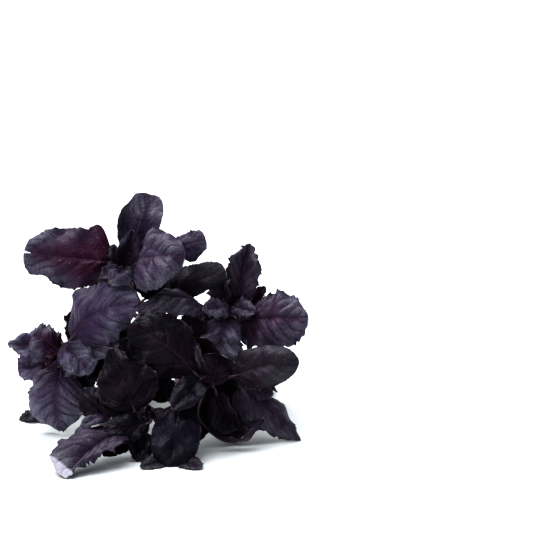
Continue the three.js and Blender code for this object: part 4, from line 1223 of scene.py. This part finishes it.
class BasilLeafSettings(PropertyGroup):
    """Sizes and colours of the leaves."""

    blade_thickness: length_setting("Blade thickness", "Thickness of a blade between its veins", 0.00042)
    vein_depth: length_setting("Vein depth", "How deep the lateral veins lie in the upper side", 0.0002)
    tooth_pitch: length_setting("Tooth pitch", "Distance between the teeth of a broad leaf's margin", 0.0052)
    tooth_depth: length_setting("Tooth depth", "How far the teeth of a broad leaf stand out", 0.0021)
    # The bloom also carries the painted sheen towards the margin and the painted highlight on pucker crests.
    bloom_and_sheen: FloatProperty(name="Bloom", description="Strength of the grey bloom", default=0.93, min=0, max=1)
    dusk: colour_setting("Dusk", "Purple grey of most leaves", (0.078, 0.062, 0.104))
    lilac: colour_setting("Lilac", "Pale young leaves", (0.106, 0.092, 0.152))
    violet: colour_setting("Violet", "Broad leaves in the light", (0.106, 0.088, 0.15))
    plum: colour_setting("Plum", "Leaves between dusk and ink", (0.04, 0.03, 0.054))
    coal: colour_setting("Coal", "Dark bluish leaves", (0.0098, 0.0094, 0.0195))
    ink: colour_setting("Ink", "Darkest leaves", (0.0054, 0.0046, 0.0098))
    # A near-black tint that stands in for the deep shade in the bunch: painted shade.
    painted_shade_black: colour_setting("Night", "Leaves deep in the bunch", (0.0022, 0.0016, 0.0030))
    slate: colour_setting("Slate", "Bluish grey leaves", (0.04, 0.038, 0.046))
    olive: colour_setting("Olive", "Brownish old leaves", (0.05, 0.042, 0.05))
    mauve: colour_setting("Mauve", "Pinkish grey leaves", (0.062, 0.05, 0.076))
    wine_leaf: colour_setting("Wine leaf", "Red leaves", (0.024, 0.006, 0.014))
    wine: colour_setting("Wine", "Blush round a leaf's base", (0.034, 0.0034, 0.0172))
    # Also the colour of the painted shade at leaf bases, along midrib valleys and near growing tips.
    shade: colour_setting("Shade", "Dark grain and hollows of the upper side", (0.006, 0.003, 0.0075))
    vein: colour_setting("Vein", "Midribs, and the other veins of red leaves", (0.092, 0.038, 0.076))
    turned: colour_setting("Turned", "Pale side of a tip that turns over", (0.42, 0.41, 0.48))
    edge: colour_setting("Edge", "Dried edge", (0.13, 0.085, 0.07))
    speck: colour_setting("Speck", "Small pale spots", (0.34, 0.15, 0.20))
    under: colour_setting("Underside", "Underside between its veins", (0.03, 0.014, 0.024))
    under_olive: colour_setting("Olive underside", "Patches of the underside", (0.018, 0.015, 0.014))
    under_vein: colour_setting("Underside vein", "Veins on the underside", (0.130, 0.065, 0.095))
    sheen: colour_setting("Sheen", "Tint of the satin sheen", (0.6, 0.6, 0.9))
    gloss: colour_setting("Gloss", "Tint of the leaves' reflections", (0.92, 0.87, 1.0))


class BasilStemSettings(PropertyGroup):
    """Sizes and colours of the stems."""

    radius_at_cut: length_setting("Radius at the cut", "From the middle to a corner at the cut", 0.0025)
    radius_at_tip: length_setting("Radius at the tip", "From the middle to a corner at the tip", 0.0014)
    stalk_radius: length_setting("Stalk radius", "Radius of a broad leaf's stalk", 0.0011)
    mauve: colour_setting("Mauve", "Skin of the stem", (0.105, 0.045, 0.085))
    dark_mauve: colour_setting("Dark mauve", "Streaks of the skin", (0.042, 0.016, 0.034))
    # Painted shade on the stem and stalks near a growing tip.
    tip_painted_shade: colour_setting("Sheltered", "Stalks between the leaves of a tip", (0.012, 0.006, 0.013))
    green: colour_setting("Green", "Patches of the skin and the ring at the cut", (0.085, 0.090, 0.045))
    pith: colour_setting("Pith", "Core of the cut end", (0.42, 0.44, 0.27))


class BasilStageSettings(PropertyGroup):
    """The plain studio and the camera."""

    floor_colour: colour_setting("Floor colour", "Plain pale surface", (0.7, 0.725, 0.735))
    floor_size: length_setting("Floor size", "Side of the square floor", 16.0)
    main: light_setting("Main light", "Strength of the light from above and behind", 3.9)
    side: light_setting("Side light", "Strength of the light from the front left", 1.2)
    sky: light_setting("Surrounding light", "Strength of the light from all round", 0.25)
    camera_distance: length_setting("Camera distance", "From the camera to its aim", 1.1)
    field_width: length_setting("Field width", "Width that the picture takes in at the aim", 0.285)
    camera_elevation: FloatProperty(
        name="Camera elevation",
        description="Angle of the view above the horizon",
        default=math.radians(13),
        subtype="ANGLE",
    )


TINTS = ("dusk", "lilac", "violet", "plum", "coal", "ink", "painted_shade_black", "slate", "olive", "mauve")

# Each light's name, its setting, its angular size in degrees, which softens its shadows, and its way.
LIGHTS = (
    ("main_light", "main", 60, (0.25, -0.28, -1.0)),
    ("side_light", "side", 50, (0.4, 0.6, -0.6)),
)
SKY_COLOUR = (0.85, 0.93, 1)
CAMERA_AIM = (58, 0, 88)  # in the layout's millimetres
SENSOR_WIDTH = 36
NEAREST_SEEN = 0.01
FARTHEST_SEEN = 60


class BASIL_OT_add_leaves(Operator):
    """Makes the leaves of every leafy stem, with the buds at its tip"""

    bl_idname = "basil.add_leaves"
    bl_label = "Add leaves"

    def execute(self, context):
        settings = context.scene.basil_leaves
        palette = {tint: tuple(getattr(settings, tint)) for tint in TINTS}
        palette["wine"] = tuple(settings.wine_leaf)
        material = leaf_finish(settings)
        for stem_index, (node, stem) in enumerate(LEAFY_STEMS.items()):
            parts = MeshParts()
            rows = [*stem["leaves"], *bud_rows(stem, stem_index)]
            growing_tip = np.array(stem["path"][-1], float)
            for index, row in enumerate(rows):
                rng = np.random.default_rng([SEED, stem_index, index])
                add_blade(parts, row, index, growing_tip, settings, palette, rng)
            piece = parts.build(node.replace("leafy_stem", "leaves_of_stem"), material)
            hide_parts(node)
        return {"FINISHED"}


class BASIL_OT_add_stems(Operator):
    """Makes the square stems and the stalks that carry the leaves"""

    bl_idname = "basil.add_stems"
    bl_label = "Add stems"

    def execute(self, context):
        settings = context.scene.basil_stems
        material = stem_finish(settings)
        for node, stem in LEAFY_STEMS.items():
            parts = MeshParts()
            add_stem(parts, stem, settings)
            for index, row in enumerate(stem["leaves"]):
                add_stalk(parts, stem, LeafSurface(row, index), settings)
            parts.build(node.replace("leafy_stem", "stem_and_stalks"), material)
        return {"FINISHED"}


class BASIL_OT_set_stage(Operator):
    """Lays the floor and sets the lights, the surroundings and the camera"""

    bl_idname = "basil.set_stage"
    bl_label = "Set stage"

    def execute(self, context):
        settings = context.scene.basil_stage
        self.add_floor(context, settings)
        self.add_lights(context, settings)
        self.add_camera(context, settings)
        context.scene.view_settings.view_transform = "Standard"
        context.scene.view_settings.look = "High Contrast"
        return {"FINISHED"}

    def add_floor(self, context, settings):
        half = settings.floor_size / 2
        corners = [(-half, -half, 0), (half, -half, 0), (half, half, 0), (-half, half, 0)]
        mesh = bpy.data.meshes.new("floor")
        mesh.from_pydata(corners, [], [(0, 1, 2, 3)])
        mesh.materials.append(floor_finish(settings))
        floor = bpy.data.objects.new("floor", mesh)
        context.scene.collection.objects.link(floor)
        floor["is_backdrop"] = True

    def add_lights(self, context, settings):
        world = bpy.data.worlds.new("studio")
        world.use_nodes = True
        background = world.node_tree.nodes["Background"]
        background.inputs["Color"].default_value = opaque(SKY_COLOUR)
        background.inputs["Strength"].default_value = settings.sky
        context.scene.world = world
        for name, setting, size, way in LIGHTS:
            lamp = bpy.data.lights.new(name, "SUN")
            lamp.energy = getattr(settings, setting)
            lamp.angle = math.radians(size)
            light = bpy.data.objects.new(name, lamp)
            light.rotation_euler = Vector(way).to_track_quat("-Z", "Y").to_euler()
            context.scene.collection.objects.link(light)

    def add_camera(self, context, settings):
        lens = bpy.data.cameras.new("camera")
        lens.sensor_width = SENSOR_WIDTH
        lens.lens = SENSOR_WIDTH * settings.camera_distance / settings.field_width
        lens.clip_start = NEAREST_SEEN
        lens.clip_end = FARTHEST_SEEN
        camera = bpy.data.objects.new("camera", lens)
        rise = settings.camera_elevation
        towards = Vector((0, math.cos(rise), -math.sin(rise)))
        aim = Vector(to_metres(CAMERA_AIM))
        camera.location = aim - towards * settings.camera_distance
        camera.rotation_euler = towards.to_track_quat("-Z", "Y").to_euler()
        context.scene.collection.objects.link(camera)
        context.scene.camera = camera


class BASIL_PT_bunch(Panel):
    """Lists the steps and the settings of the bunch"""

    bl_idname = "BASIL_PT_bunch"
    bl_label = "Purple basil bunch"
    bl_space_type = "VIEW_3D"
    bl_region_type = "UI"
    bl_category = "Basil"

    def draw(self, context):
        groups = (
            (BASIL_OT_add_leaves, context.scene.basil_leaves),
            (BASIL_OT_add_stems, context.scene.basil_stems),
            (BASIL_OT_set_stage, context.scene.basil_stage),
        )
        for operator, settings in groups:
            box = self.layout.box()
            box.operator(operator.bl_idname)
            for name in settings.__annotations__:
                box.prop(settings, name)


CLASSES = (
    BasilLeafSettings,
    BasilStemSettings,
    BasilStageSettings,
    BASIL_OT_add_leaves,
    BASIL_OT_add_stems,
    BASIL_OT_set_stage,
    BASIL_PT_bunch,
)


def register():
    for cls in CLASSES:
        bpy.utils.register_class(cls)
    bpy.types.Scene.basil_leaves = PointerProperty(type=BasilLeafSettings)
    bpy.types.Scene.basil_stems = PointerProperty(type=BasilStemSettings)
    bpy.types.Scene.basil_stage = PointerProperty(type=BasilStageSettings)


def unregister():
    del bpy.types.Scene.basil_leaves
    del bpy.types.Scene.basil_stems
    del bpy.types.Scene.basil_stage
    for cls in reversed(CLASSES):
        bpy.utils.unregister_class(cls)


def main():
    register()
    bpy.ops.basil.add_leaves()
    bpy.ops.basil.add_stems()
    bpy.ops.basil.set_stage()
    boxes = {"cad": cad_box, "visual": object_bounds()}
    {name: [list(corner) for corner in box] for name, box in boxes.items()}


if __name__ == "__main__":
    main()
